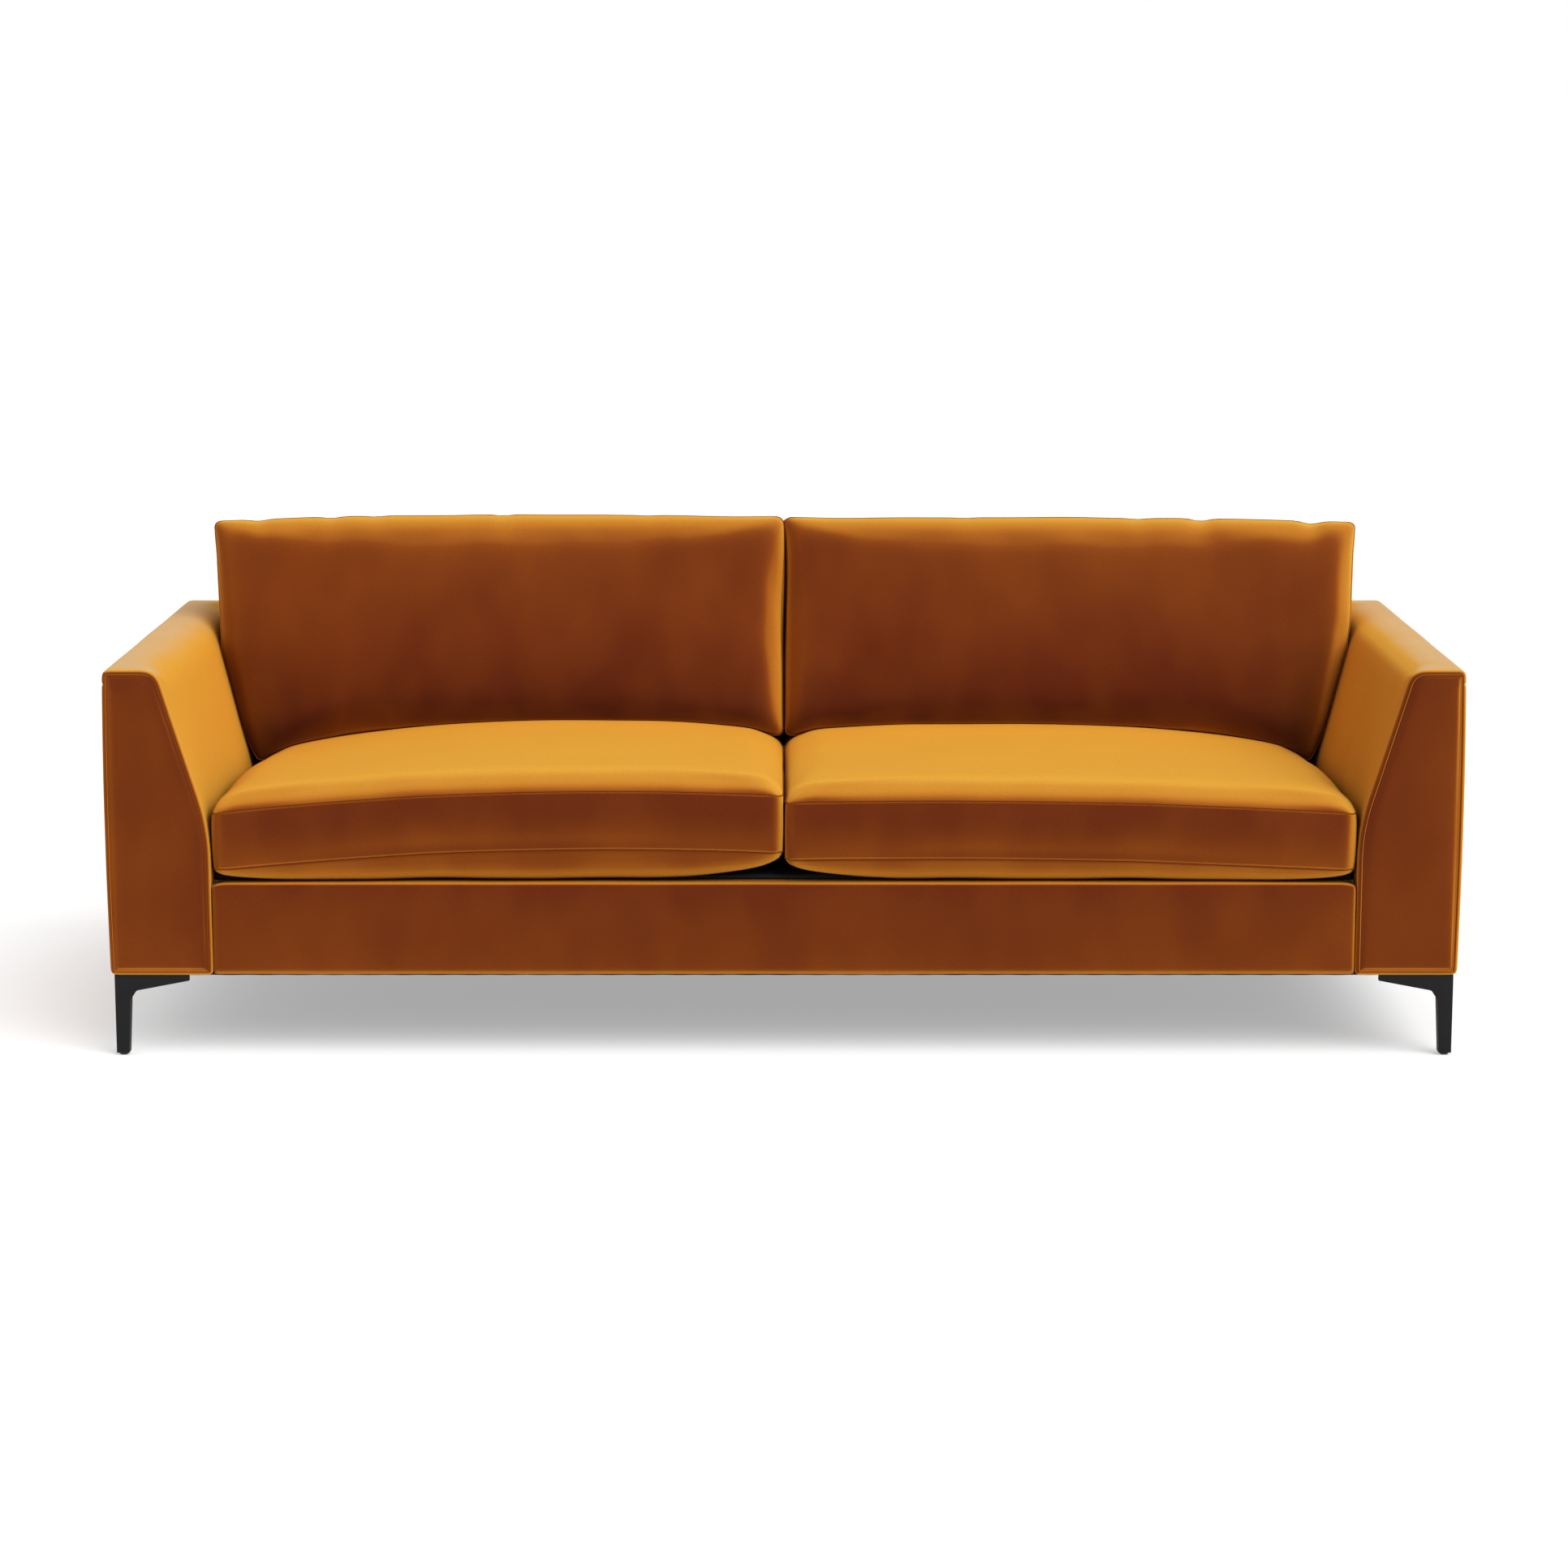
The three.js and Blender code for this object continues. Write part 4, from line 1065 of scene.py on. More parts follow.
class BackForm:
    """Where a back cushion's cloth lies: leaning back, wider at its top than between the arms."""

    lean, bottom_lean = math.radians(18), math.radians(4)
    # The cushions press against each other in the middle
    overlap = 5 * MM
    # How much wider than the arm's inner side each cushion is at the arm's top, and how far it flares above
    over_arms = {"left": (-13 * MM, 8 * MM), "right": (-8 * MM, 6 * MM)}
    # The heights over which it widens below the arm's top and flares above
    widening, flaring = 60 * MM, 170 * MM
    # How far the outer top corner sticks out
    ear = 3 * MM
    # How much narrower the cushion's outer bottom corner is, and the heights over the seam where that ends
    corner_in = 12 * MM
    corner_span = (-46 * MM, 40 * MM)
    roll_reach = 82 * MM
    # How far the top edge stands higher in its middle, and from there at the sofa's middle and at the arm
    top_edges = {"left": (2 * MM, 2 * MM, -5 * MM), "right": (-3 * MM, 6 * MM, -2 * MM)}
    # Where gathers pull the top seam down: how far from the sofa's middle, and the share of the pucker's size
    gathers = {
        "left": ((960 * MM, 0.8), (826 * MM, 0.6), (746 * MM, 0.4), (512 * MM, 0.5), (250 * MM, 0.25)),
        "right": ((963 * MM, 1.6), (760 * MM, 1.2), (645 * MM, 0.5), (330 * MM, 0.3)),
    }
    gather_width, gather_length = 16 * MM, 38 * MM

    def __init__(self, side):
        self.puckers = self.gathers[side]
        self.top_middle, self.inner_end, self.outer_end = self.top_edges[side]
        self.over_arm, self.flare = self.over_arms[side]
        self.size = bpy.context.scene.sofa_back_cushion_sizes
        self.seam = Vector((BACK_LOW.y - self.size.seam_ahead, DECK_HIGH.z + self.size.seam_height))
        self.half_x = SEAT_HIGH.x / 2
        self.half_up = self.size.face / 2 - self.size.bulge

    def reach(self, up):
        """How far out the cushion goes at a height: against the arm's slant below, over the arm above."""
        z = self.seam.y + up * math.cos(self.lean)
        over = self.over_arm * soft_step(z, TOP - self.widening, TOP)
        over += self.flare * max(0.0, z - TOP) / self.flaring
        turned_in = self.corner_in * (1 - soft_step(up, *self.corner_span))
        return arm_inner_x(min(z, TOP)) + self.size.bulge + self.size.draw_in + over - turned_in

    def lay(self, up, depth):
        share = up / self.size.face
        turn = self.lean if depth < 0 else self.bottom_lean + (self.lean - self.bottom_lean) * share
        return (self.seam.x + up * math.sin(self.lean) + depth * math.cos(turn),
                self.seam.y + up * math.cos(self.lean) - depth * math.sin(turn))

    def gathered(self, x, below_top):
        """How much the gathers pull at a place, from 0 to 1 and a little more."""
        width = self.gather_width + 0.25 * below_top
        pull = sum(share * math.exp(-((x - place) / width) ** 2) for place, share in self.puckers)
        return pull * math.exp(-below_top / self.gather_length)

    def __call__(self, u, v, w):
        size = self.size
        half_x = self.half_x - size.bulge - size.draw_in * (1 - v * v)
        half_up = self.half_up + size.top_rise * (1 - u * u)
        x, up, out = round_corner(u * half_x, v * half_up, half_x, half_up, size.corner)
        if abs(w) > ON_PANEL:
            rise = size.roll * swell(u, v, half_x, half_up, self.roll_reach)
            depth = -(rise + size.crown * crown(u, v))
            if w < 0:
                depth = size.gusset + rise + size.crown * 0.6 * crown(u, v)
        else:
            bulge = size.bulge * (1 - w * w)
            x, up = x + out.x * bulge, up + out.y * bulge
            depth = size.gusset * (1 - w) / 2
        if v > 0:
            ends = self.inner_end if u < 0 else self.outer_end
            up += v * (size.top_lift + self.top_middle + ends * abs(u) ** 3)
        else:
            up -= size.corner_drop * v * v * soft_step(u, 0.55, 1.0)
        up += size.face / 2
        across = (x + self.half_x) / (2 * self.half_x)
        place_x = across * (self.reach(up) + self.overlap) - self.overlap
        top = size.face + size.top_rise + size.top_lift
        pull = size.pucker * self.gathered(place_x, max(0.0, top - up))
        place_x += self.ear * soft_step(u, 0.9, 1.0) * soft_step(v, 0.7, 1.0)
        y, z = self.lay(up - pull, depth + (pull if w > ON_PANEL else 0))
        return Vector((place_x, y, z))


SWELL_FRAMES = 20
SMOOTHING_PASSES = 10


def evened(mesh, steps):
    """Averages each point's step with its neighbours', so that no wrinkle is as narrow as the weave."""
    around = [[] for _ in steps]
    for edge in mesh.edges:
        a, b = edge.vertices
        around[a].append(b)
        around[b].append(a)
    for _ in range(SMOOTHING_PASSES):
        steps = [(step + sum((steps[i] for i in near), Vector())) / (len(near) + 1)
                 for step, near in zip(steps, around)]
    return steps


def inflate(cover, pressure, cap, slack):
    """Swells the slack panels under air pressure for a moment, between seams that stay where they are.

    slack is the share by which the cloth is longer than its seams. A point's step grows ever more slowly
    towards the cap.
    """
    piece = cover.piece
    pinned = cover.seams()
    start = [v.co.copy() for v in piece.data.vertices]
    seams = piece.vertex_groups.new(name="seams")
    seams.add(list(pinned), 1.0, "REPLACE")
    activate(piece)
    cloth = piece.modifiers.new("Cloth", "CLOTH")
    cloth.point_cache.frame_start, cloth.point_cache.frame_end = 1, SWELL_FRAMES
    fabric = cloth.settings
    fabric.quality = 4
    fabric.mass = 0.3
    fabric.tension_stiffness = fabric.compression_stiffness = 12
    fabric.shear_stiffness = 6
    fabric.bending_stiffness = 1.2
    fabric.use_pressure = True
    fabric.uniform_pressure_force = pressure
    fabric.effector_weights.gravity = 0
    fabric.vertex_group_mass = seams.name
    fabric.shrink_min = -slack
    scene = bpy.context.scene
    for frame_number in range(1, SWELL_FRAMES + 1):
        scene.frame_set(frame_number)
    swollen = piece.evaluated_get(bpy.context.evaluated_depsgraph_get())
    ends = [v.co.copy() for v in swollen.data.vertices]
    piece.modifiers.remove(cloth)
    piece.vertex_groups.clear()
    steps = evened(piece.data, [after - before for before, after in zip(start, ends)])
    for vertex, before, step in zip(piece.data.vertices, start, steps):
        if vertex.index not in pinned and step.length > 0:
            vertex.co = before + step.normalized() * cap * math.tanh(step.length / cap)
    piece.data.update()
    scene.frame_set(1)


GROOVE_DEPTH, GROOVE_WIDTH = 1.6 * MM, 2.4 * MM


def sew(cover):
    """Turns the lines round both panels into narrow grooves, and returns the lines' places."""
    piece = cover.piece
    lines = []
    for panel in (1, -1):
        rim = cover.rim(panel)
        links = {}
        for edge in piece.data.edges:
            a, b = edge.vertices
            if a in rim and b in rim:
                links.setdefault(a, []).append(b)
                links.setdefault(b, []).append(a)
        first = min(rim)
        path, last = [first], None
        while len(path) == 1 or path[-1] != first:
            onward = next(i for i in links[path[-1]] if i != last)
            last = path[-1]
            path.append(onward)
        points = [piece.data.vertices[i] for i in path[:-1]]
        lines.append([(point.co.copy(), point.normal.copy()) for point in points])
    seams = cover.seams()
    edit(piece)
    bpy.ops.mesh.select_mode(type="EDGE")
    bpy.ops.mesh.select_all(action="DESELECT")
    form = bmesh.from_edit_mesh(piece.data)
    for edge in form.edges:
        edge.select = edge.verts[0].index in seams and edge.verts[1].index in seams
    bmesh.update_edit_mesh(piece.data)
    bpy.ops.mesh.bevel(offset=GROOVE_WIDTH, segments=4, affect="EDGES")
    bpy.ops.mesh.select_mode(type="VERT")
    bpy.ops.mesh.select_less()
    bpy.ops.mesh.select_less()
    bpy.ops.transform.shrink_fatten(value=-GROOVE_DEPTH)
    bpy.ops.mesh.select_mode(type="FACE")
    stop_editing()
    return lines


def stitch(name, lines, thickness, lift):
    """A rolled thread along each line, as one piece."""
    curve = bpy.data.curves.new(name, "CURVE")
    curve.dimensions = "3D"
    curve.bevel_depth = thickness / 2
    curve.bevel_resolution = 1
    for line in lines:
        spline = curve.splines.new("POLY")
        spline.points.add(len(line) - 1)
        for point, (place, normal) in zip(spline.points, line):
            point.co = (*(place + normal * lift), 1)
        spline.use_cyclic_u = True
    thread = bpy.data.objects.new(name, curve)
    bpy.context.collection.objects.link(thread)
    activate(thread)
    bpy.ops.object.convert(target="MESH")
    thread = rename(bpy.context.object, name)
    face_outwards(thread)
    return thread


# Further out than any part of the sofa
FREE = 10


def keep_between(cover, low_x, high_x):
    """Keeps a swollen cover off the cushion beside it and off the arm."""
    for vertex in cover.piece.data.vertices:
        vertex.co.x = min(max(vertex.co.x, low_x(vertex.co.y)), high_x(vertex.co.z))
    cover.piece.data.update()


def finish_cushion(cover, kind, side, thickness, lift):
    """Sews a cover's seams with thread, and puts both on their own side of the sofa."""
    piece, body = cover.piece, f"{kind}_{side}"
    thread = stitch(f"{body}_thread", sew(cover), thickness, lift)
    finer(piece)
    for made, finish in ((piece, "velvet"), (thread, "thread")):
        wear(made, finish_of(finish))
        if side == "left":
            turn_over(made)
        smooth(made)
    place_on(piece, body, "velvet", f"{kind}_cover_{side}", f"{kind}_core_{side}")
    place_on(thread, body, "velvet")


def middle_curve(y, side):
    """Where the two back cushions press against each other: one bulges into the other by turns."""
    behind = soft_step(y, 150 * MM, 230 * MM)
    swing = 4 * MM * behind * math.sin(math.tau * (y - BACK_LOW.y) / (110 * MM))
    return SIDES[side] * swing + 0.5 * MM


class SOFA_OT_seat_cushions(bpy.types.Operator):
    """Two box seat cushions, swollen over their foam, with a sewn border"""
    bl_idname = "sofa.seat_cushions"
    bl_label = "Seat cushions"

    def execute(self, context):
        rear = BACK_LOW.y - context.scene.sofa_seat_sizes.zip_room
        on_deck = DECK_HIGH.z + 0.3 * MM
        middle_gap, arm_press = 1.2 * MM, 1 * MM
        for side in SIDES:
            cover = Cover(f"seat_cushion_{side}", columns=79, rows=62, strips=8)
            cover.lay(SeatForm(side))
            shape(cover.piece, rumpled(millimetres=2, grain=130 * MM, seed=2.3))
            inflate(cover, pressure=4, cap=2 * MM, slack=0.008)
            keep_between(cover, lambda y: middle_gap, lambda z: arm_inner_x(z) - arm_press)
            for vertex in cover.piece.data.vertices:
                if vertex.co.y > BORDER_HIGH.y:
                    vertex.co.z = max(vertex.co.z, on_deck)
                vertex.co.y = min(vertex.co.y, rear)
            finish_cushion(cover, "seat_cushion", side, thickness=1.8 * MM, lift=-0.4 * MM)
        return {"FINISHED"}


# The height of the zips across the rear panels of the back cushions
ZIP_HEIGHT = 600 * MM


class SOFA_OT_back_cushions(bpy.types.Operator):
    """Two loose back cushions, gathered along the top seam, that lean on the back"""
    bl_idname = "sofa.back_cushions"
    bl_label = "Back cushions"

    def execute(self, context):
        for side in SIDES:
            cover = Cover(f"back_cushion_{side}", columns=86, rows=34, strips=13)
            cover.lay(BackForm(side))
            shape(cover.piece, rumpled(millimetres=2.5, grain=150 * MM, seed=5.9))
            inflate(cover, pressure=4, cap=2.2 * MM, slack=0.012)
            self.press(cover, side)
            keep_between(cover, lambda y: middle_curve(y, side),
                         lambda z: arm_inner_x(z) - 0.5 * MM if z < TOP else FREE)
            self.rest_on(cover, side)
            finish_cushion(cover, "back_cushion", side, thickness=1.6 * MM, lift=-0.5 * MM)
        return {"FINISHED"}

    @staticmethod
    def press(cover, side):
        """Brings the inner border, and what lies just inside it, to the curved middle."""
        reach = 40 * MM
        for vertex in cover.piece.data.vertices:
            near = 1 - soft_step(vertex.co.x, 0, reach)
            vertex.co.x += near * (middle_curve(vertex.co.y, side) - 0.5 * MM)
        cover.piece.data.update()

    @staticmethod
    def rest_on(cover, side):
        """Lifts the cloth on to the seat cushion below it and brings it ahead of the back behind it."""
        seat = bpy.data.objects[f"seat_cushion_{side}"]
        tree = BVHTree.FromObject(seat, bpy.context.evaluated_depsgraph_get())
        well_above, clear = 0.5, 0.8 * MM
        for vertex in cover.piece.data.vertices:
            place = vertex.co
            above = Vector((SIDES[side] * place.x, place.y, place.z + well_above))
            hit = tree.ray_cast(above, Vector((0, 0, -1)))[0]
            if hit:
                place.z = max(place.z, hit.z + clear)
            near_zip = 1 - soft_step(abs(place.z - ZIP_HEIGHT), 14 * MM, 50 * MM)
            limit = back_inner_y(place.z) - 0.6 * MM - 3.4 * MM * near_zip if place.z < TOP + 2 * MM else FREE
            place.y = min(place.y, limit)
        cover.piece.data.update()


# Zips


class Zip:
    """A closed zip laid on a cover: its tape, two rows of teeth and a slider with its pull.

    height_at gives the zip's height for each x, start_y a place near the cover, and out the way away from it.
    """

    end_margin = 120 * MM
    tape_width, tape_thickness = 26 * MM, 0.9 * MM
    tooth_spacing, tooth_reach = 3.2 * MM, 2.4 * MM

    def __init__(self, name, cover, ends, height_at, start_y, out):
        self.name = name
        self.tree = BVHTree.FromObject(cover, bpy.context.evaluated_depsgraph_get())
        self.low, self.high = ends[0] + self.end_margin, ends[1] - self.end_margin
        self.height_at, self.start_y, self.out = height_at, start_y, out.normalized()
        self.up = Vector((1, 0, 0)).cross(self.out) * -1

    def conform(self, piece):
        """Lays a piece drawn flat (x along, y up, z out) on to the cover."""
        far = 0.2
        for vertex in piece.data.vertices:
            x, up, out = vertex.co
            start = Vector((x, 0, self.height_at(x))) + self.up * up
            start.y = self.start_y
            hit = self.tree.ray_cast(start + self.out * far, -self.out)[0]
            vertex.co = hit + self.out * out if hit else start
        piece.data.update()
        face_outwards(piece)

    def tape(self):
        long = self.high - self.low
        tape = laid_grid(f"{self.name}_tape", long, self.tape_width, round(long / (6 * MM)), 8,
                         ((self.low + self.high) / 2, 0, -0.2 * MM))
        draw_up(self.tape_thickness)
        stop_editing()
        return tape

    def teeth(self):
        """Both rows, their teeth set between each other's."""
        step, reach = self.tooth_spacing, self.tooth_reach
        margin = 5 * MM
        count = int((self.high - self.low - 2 * margin) / step)
        rows = []
        for side in (-1, 1):
            start = self.low + margin + (side > 0) * step / 2
            row = rounded_block(f"{self.name}_teeth", (step * 0.45, reach, 1.3 * MM),
                                (start, side * reach * 0.38, self.tape_thickness), 0.2 * MM, 1)
            in_a_row(row, count, (step, 0, 0))
            rows.append(row)
        return joined(rows)

    def slider(self):
        """The slider's body and its pull, which hangs down."""
        x = self.low + 9 * MM
        body = rounded_block(f"{self.name}_slider", (11 * MM, 7 * MM, 2.2 * MM), (x, 0, 1.4 * MM), 0.7 * MM)
        pull = rounded_block("pull", (4 * MM, 17 * MM, 0.9 * MM), (x, -10 * MM, 1.3 * MM), 0.4 * MM)
        return joined([body, pull])

    def make(self, body):
        for draw, finish in ((self.tape, "tape"), (self.teeth, "nylon"), (self.slider, "brass")):
            piece = draw()
            wear(piece, finish_of(finish))
            self.conform(piece)
            smooth(piece, 40)
            place_on(piece, body, "velvet")


class SOFA_OT_zips(bpy.types.Operator):
    """A zip in the rear border of each seat cushion and across the rear of each back cushion"""
    bl_idname = "sofa.zips"
    bl_label = "Zips"

    def execute(self, context):
        lean = BackForm.lean
        behind = Vector((0, math.cos(lean), -math.sin(lean)))
        for side, sign in SIDES.items():
            form = SeatForm(side)
            ends = sorted((sign * SEAT_LOW.x, sign * SEAT_HIGH.x))

            def seat_height(x):
                u = (abs(x) - form.centre.x) / form.half_x
                return form.low_seam(u) + form.size.border / 2 - form.sag(u, BACK_LOW.y) / 2

            for kind, height_at, start_y, out in (
                    ("seat", seat_height, BACK_LOW.y, Vector((0, 1, 0))),
                    ("back", lambda x: ZIP_HEIGHT, back_inner_y(ZIP_HEIGHT), behind)):
                cushion = bpy.data.objects[f"{kind}_cushion_{side}"]
                Zip(f"{kind}_zip_{side}", cushion, ends, height_at, start_y, out).make(cushion.name)
        return {"FINISHED"}


# Legs, cloths under the cushions and the base, and the finishes of the frame's own solids


CORNERS = [f"{end}_{side}" for end in ("front", "back") for side in SIDES]


class SOFA_OT_legs(bpy.types.Operator):
    """Four corner legs, their edges softened by the powder coat"""
    bl_idname = "sofa.legs"
    bl_label = "Legs"

    coat_round: FloatProperty(name="Edge", description="Rounding of the coated edges", default=0.8 * MM,
                              unit="LENGTH")

    def execute(self, context):
        for corner in CORNERS:
            leg = copied(bpy.data.objects[f"leg_{corner}"], f"coated_leg_{corner}")
            edit(leg)
            bpy.ops.mesh.remove_doubles(threshold=0.02 * MM)
            bpy.ops.mesh.dissolve_limited(angle_limit=math.radians(1))
            stop_editing()
            apply_modifier(leg, "BEVEL", width=self.coat_round, segments=3, limit_method="ANGLE",
                           angle_limit=math.radians(35))
            wear(leg, finish_of("powder coat"))
            smooth(leg, 40)
            place_on(leg, "sofa_frame", "black_metal", f"leg_{corner}")
        return {"FINISHED"}


class SOFA_OT_deck(bpy.types.Operator):
    """The black deck cloth under the seat cushions, padded over the springs"""
    bl_idname = "sofa.deck"
    bl_label = "Deck"

    def execute(self, context):
        low, high = DECK_LOW, DECK_HIGH
        wide, deep, thick = high.x - low.x, high.y - low.y, high.z - low.z
        deck = laid_grid("deck_lining", wide, deep, round(wide / RING_STEP), round(deep / RING_STEP),
                         ((low.x + high.x) / 2, (low.y + high.y) / 2, low.z))
        draw_up(thick)
        bpy.ops.mesh.region_to_loop()
        bpy.ops.mesh.bevel(offset=thick * 0.35, segments=3, affect="EDGES")
        stop_editing()
        finish_skin(deck, self.settle, "lining")
        place_on(deck, "sofa_frame", "felt", "seat_deck")
        return {"FINISHED"}

    @staticmethod
    def settle(place, normal):
        """The cloth sinks a little between the springs, which stand 110 mm apart."""
        spring_spacing = 110 * MM
        if normal.z > 0.5:
            place.z -= 1.2 * MM * (0.5 + 0.5 * math.cos(math.tau * place.x / spring_spacing))
            place.z -= 0.5 * MM * (1 + waves(place, 60 * MM, 3.3))
        return place


class SOFA_OT_dust_cloth(bpy.types.Operator):
    """The black cloth stapled under the base, cut away round the legs"""
    bl_idname = "sofa.dust_cloth"
    bl_label = "Dust cloth"

    # How far the cut at each leg reaches in from the cloth's edges
    cut_x, cut_y = 125 * MM, 125 * MM
    thickness = 0.8 * MM
    staple_spacing = 58 * MM

    def execute(self, context):
        self.half_x, self.half_y = DUST_HIGH.x, DUST_HIGH.y
        cloth = self.make_cloth()
        place_on(cloth, "sofa_frame", "felt", "dust_cloth")
        staples = self.make_staples()
        place_on(staples, "sofa_frame", "zinc_steel")
        return {"FINISHED"}

    def make_cloth(self):
        step = 12 * MM
        wide, deep = 2 * self.half_x, 2 * self.half_y
        cloth = laid_grid("dust_cloth_sheet", wide, deep, round(wide / step), round(deep / step),
                          (0, 0, DUST_LOW.z))
        bpy.ops.mesh.select_all(action="DESELECT")
        form = bmesh.from_edit_mesh(cloth.data)
        for face in form.faces:
            centre = face.calc_center_median()
            beside_leg = abs(centre.x) > self.half_x - self.cut_x
            face.select = beside_leg and abs(centre.y) > self.half_y - self.cut_y
        bmesh.update_edit_mesh(cloth.data)
        bpy.ops.mesh.delete(type="FACE")
        bpy.ops.mesh.select_all(action="SELECT")
        draw_up(self.thickness)
        face_outwards(cloth)
        shape(cloth, self.settle)
        wear(cloth, finish_of("lining"))
        smooth(cloth, 60)
        return cloth

    def settle(self, place, normal):
        """Stapled flat at its edges, where it waves a little between the staples, and slack in between."""
        from_edge = min(self.half_x - abs(place.x), self.half_y - abs(place.y))
        slack = soft_step(from_edge, 20 * MM, 160 * MM)
        place.z -= slack * (2.5 * MM + 1.2 * MM * waves(Vector((place.x, place.y, 0)), 90 * MM, 7.7))
        between = math.sin(math.tau * (place.x + place.y) / self.staple_spacing)
        place.z -= (1 - slack) * 0.25 * MM * (1 + between)
        return place

    def make_staples(self):
        """One staple's crown, repeated along the four edges between the legs."""
        inset, leg_room = 8 * MM, 30 * MM
        halves = (self.half_x, self.half_y)
        long = (self.half_x - self.cut_x - leg_room, self.half_y - self.cut_y - leg_room)
        rows = []
        for axis, side in ((0, -1), (0, 1), (1, -1), (1, 1)):
            crown = [1.1 * MM, 1.1 * MM, 0.7 * MM]
            place = [side * (half - inset) for half in halves] + [DUST_LOW.z - 0.6 * MM]
            step = [0.0, 0.0, 0.0]
            crown[axis], place[axis], step[axis] = 11 * MM, -long[axis], self.staple_spacing
            row = rounded_block("dust_cloth_staples", crown, place, 0.25 * MM, 1)
            in_a_row(row, int(2 * long[axis] / self.staple_spacing) + 1, step)
            rows.append(row)
        staples = joined(rows)
        wear(staples, finish_of("zinc"))
        return staples


class SOFA_OT_inner_finishes(bpy.types.Operator):
    """Timber, steel, webbing and foam: what shows of the frame where no cover hides it"""
    bl_idname = "sofa.inner_finishes"
    bl_label = "Inner finishes"

    # The finish that goes with a word in a solid's name. All other solids are timber
    finishes = {"spring_bank": "spring", "webbing": "webbing", "screw": "zinc", "glide": "nylon",
                "core": "foam", "dust_cloth": "lining", "cover": "velvet", "deck": "lining",
                "leg_": "powder coat"}

    def execute(self, context):
        for name, node in frame["nodes"].items():
            known = [finish for word, finish in self.finishes.items() if word in name]
            finish = known[0] if known else self.timber_along(node)
            for slot in node.material_slots:
                slot.material = finish_of(finish)
        return {"FINISHED"}

    @staticmethod
    def timber_along(node):
        """The grain runs along a board's longest side."""
        reach = list(node.dimensions)
        return f"timber {'xyz'[reach.index(max(reach))]}"


# The studio

FOCAL_PIXELS, PICTURE_PIXELS = 4690, 1932
CAMERA_PLACE, CAMERA_PITCH = (0.0, -6.689, 1.575), 10.1


def camera_shows(tree, other, seen):
    """The other shader, but the seen one for a camera, glossy or transmission ray."""
    rays = add(tree, "ShaderNodeLightPath").outputs
    either = rays["Is Camera Ray"]
    for ray in ("Is Glossy Ray", "Is Transmission Ray"):
        either = add(tree, "ShaderNodeMath", {0: either, 1: rays[ray]}, operation="MAXIMUM").outputs["Value"]
    return add(tree, "ShaderNodeMixShader", {"Fac": either, 1: other, 2: seen}).outputs["Shader"]


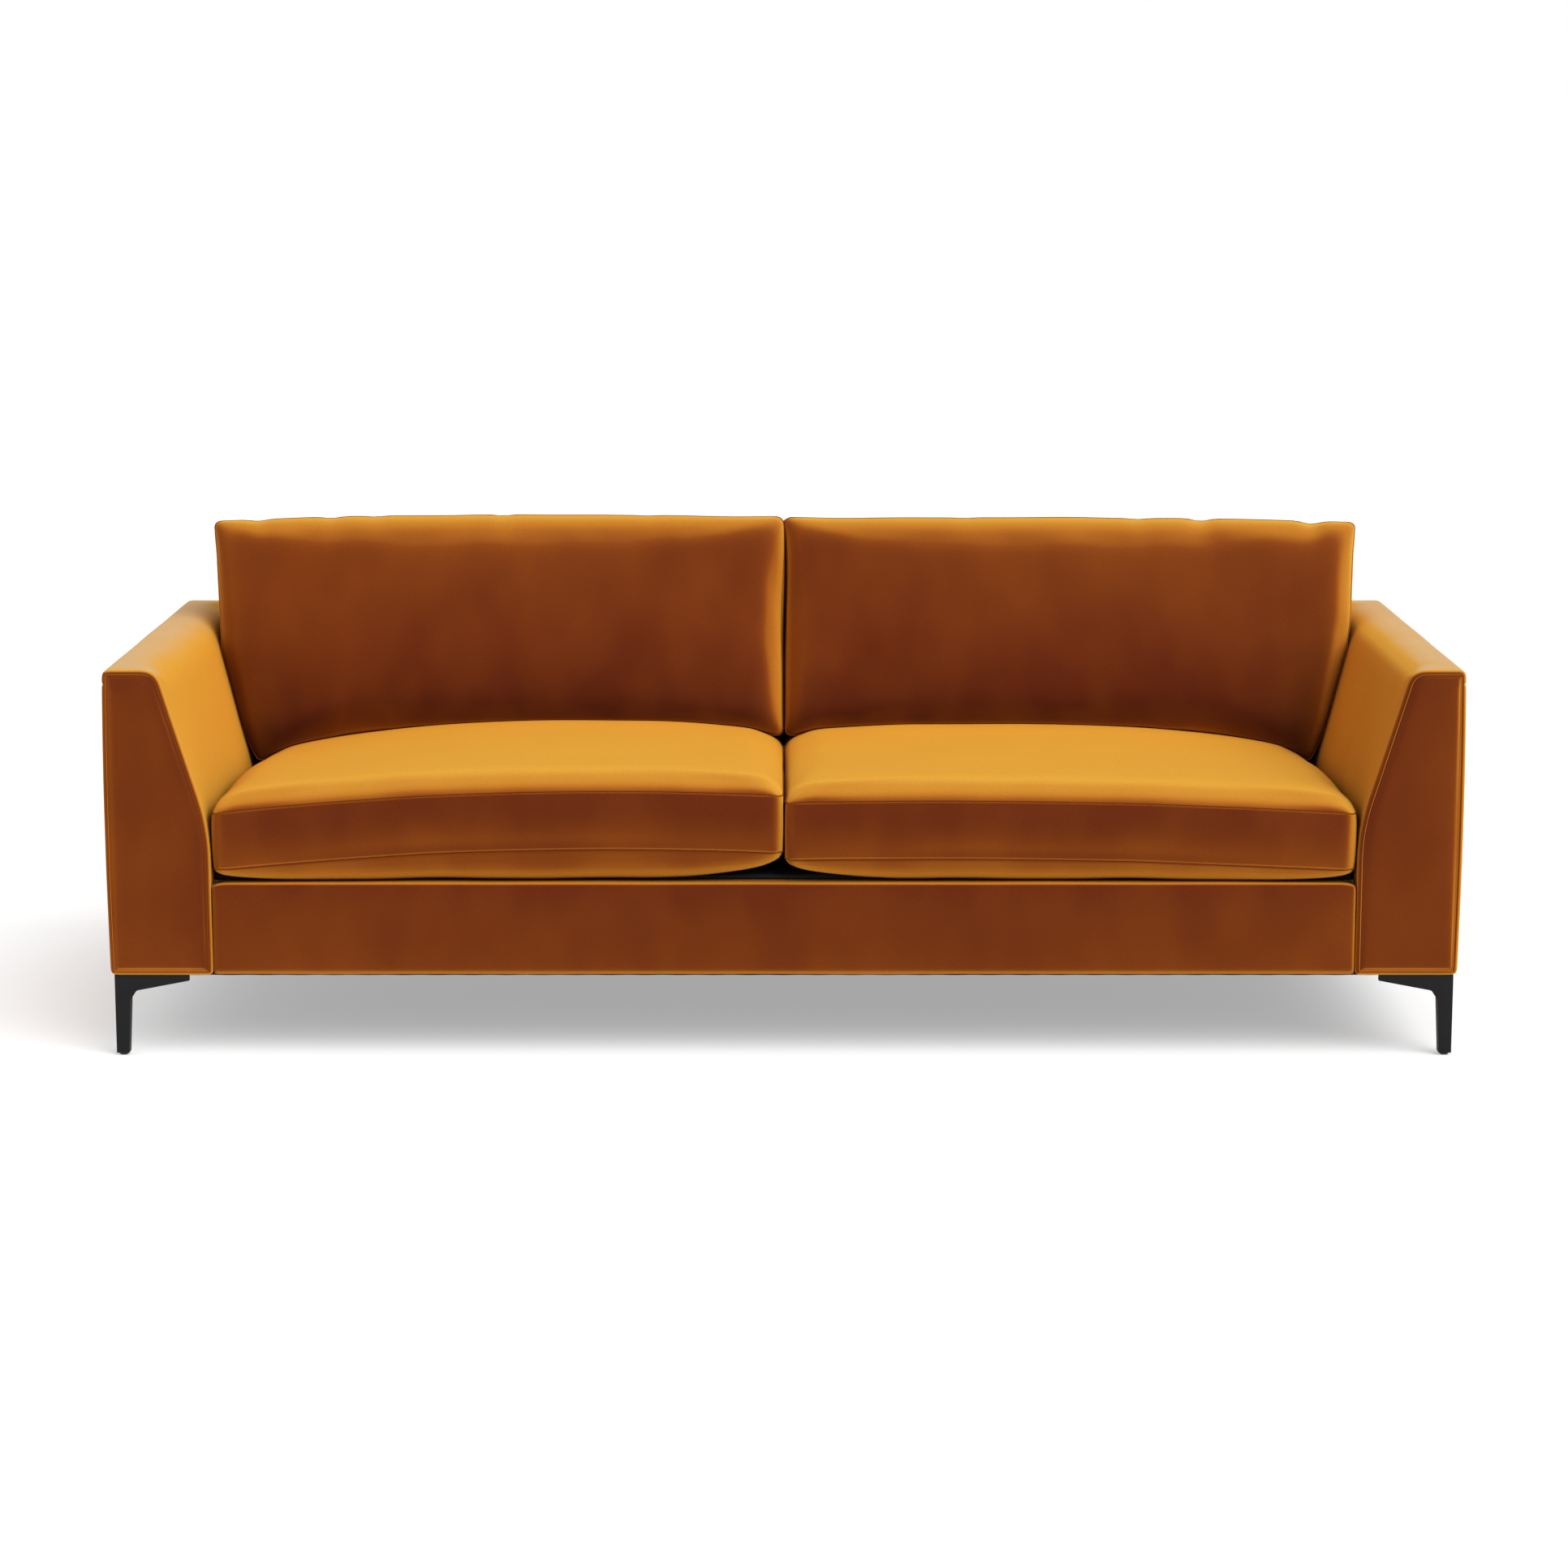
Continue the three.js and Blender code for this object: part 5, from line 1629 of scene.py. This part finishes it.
class SOFA_OT_stage(bpy.types.Operator):
    """Pale floor, soft studio light and the camera"""
    bl_idname = "sofa.stage"
    bl_label = "Stage"

    def execute(self, context):
        scene = context.scene
        scene.view_settings.view_transform = "Standard"
        self.make_floor()
        self.make_world(scene)
        self.make_lamp("key", towards=(-0.5, 0.5, -0.73), strength=1.75, softness=50)
        self.make_lamp("fill", towards=(0.6, 0.5, -0.6), strength=0.2, softness=70)
        camera = bpy.data.cameras.new("camera")
        camera.sensor_width = 36
        camera.lens = camera.sensor_width * FOCAL_PIXELS / PICTURE_PIXELS
        camera.clip_end = 100
        holder = bpy.data.objects.new("camera", camera)
        holder.location = CAMERA_PLACE
        holder.rotation_euler = (math.radians(90 - CAMERA_PITCH), 0, 0)
        scene.collection.objects.link(holder)
        scene.camera = holder
        return {"FINISHED"}

    @staticmethod
    def make_floor():
        deselect()
        bpy.ops.mesh.primitive_plane_add(size=80)
        floor = rename(bpy.context.object, "floor")
        material, tree, coordinates = start_material("painted_studio_floor")
        patches = {"Factor": cloudy(tree, coordinates, 0.5, 0.0, 0.04), UNDER: colours().floor,
                   OVER: colour("#DDDDDD")}
        tone = add(tree, "ShaderNodeMix", patches, data_type="RGBA")
        paint = add(tree, "ShaderNodeBsdfPrincipled", {"Base Color": tone.outputs[MIXED], "Roughness": 0.9})
        bright = add(tree, "ShaderNodeBsdfDiffuse", {"Color": (0.92, 0.92, 0.92, 1)})
        glow = add(tree, "ShaderNodeEmission", {"Color": (1, 1, 1, 1), "Strength": 0.36})
        seen = add(tree, "ShaderNodeAddShader", {0: bright.outputs[0], 1: glow.outputs[0]})
        surface = camera_shows(tree, paint.outputs[0], seen.outputs[0])
        add(tree, "ShaderNodeOutputMaterial", {"Surface": surface})
        wear(floor, material)

    @staticmethod
    def make_world(scene):
        world = bpy.data.worlds.new("studio")
        world.use_nodes = True
        tree = world.node_tree
        tree.nodes.clear()
        soft, white = (add(tree, "ShaderNodeBackground", {"Color": (1, 1, 1, 1), "Strength": strength})
                       for strength in (0.47, 1.0))
        surface = camera_shows(tree, soft.outputs[0], white.outputs[0])
        add(tree, "ShaderNodeOutputWorld", {"Surface": surface})
        scene.world = world

    @staticmethod
    def make_lamp(name, towards, strength, softness):
        """A distant soft box that shines in the given direction."""
        lamp = bpy.data.lights.new(name, "SUN")
        lamp.energy = strength
        lamp.angle = math.radians(softness)
        holder = bpy.data.objects.new(name, lamp)
        holder.rotation_euler = Vector(towards).to_track_quat("-Z", "Y").to_euler()
        bpy.context.collection.objects.link(holder)


class SOFA_PT_pieces(bpy.types.Panel):
    """The sofa's pieces and colours"""
    bl_idname = "SOFA_PT_pieces"
    bl_label = "Velvet sofa"
    bl_space_type = "VIEW_3D"
    bl_region_type = "UI"
    bl_category = "Sofa"

    def draw(self, context):
        for operator in OPERATORS:
            self.layout.operator(operator.bl_idname)
        for name, group in PROPERTY_GROUPS.items():
            box = self.layout.box()
            for key in group.__annotations__:
                box.prop(getattr(context.scene, name), key)


PROPERTY_GROUPS = {
    "sofa_frame_sizes": SofaFrameSizes,
    "sofa_seat_sizes": SofaSeatSizes,
    "sofa_back_cushion_sizes": SofaBackCushionSizes,
    "sofa_colours": SofaColours,
}
OPERATORS = [SOFA_OT_stage, SOFA_OT_arms, SOFA_OT_back, SOFA_OT_front_border, SOFA_OT_seat_cushions,
             SOFA_OT_back_cushions, SOFA_OT_zips, SOFA_OT_legs, SOFA_OT_deck, SOFA_OT_dust_cloth,
             SOFA_OT_inner_finishes]


def register():
    for cls in (*PROPERTY_GROUPS.values(), *OPERATORS, SOFA_PT_pieces):
        bpy.utils.register_class(cls)
    for name, group in PROPERTY_GROUPS.items():
        setattr(bpy.types.Scene, name, PointerProperty(type=group))


def unregister():
    for name in PROPERTY_GROUPS:
        delattr(bpy.types.Scene, name)
    for cls in (SOFA_PT_pieces, *reversed(OPERATORS), *reversed(PROPERTY_GROUPS.values())):
        bpy.utils.unregister_class(cls)


def main():
    register()
    for operator in OPERATORS:
        group, name = operator.bl_idname.split(".")
        getattr(getattr(bpy.ops, group), name)()


if __name__ == "__main__":
    main()
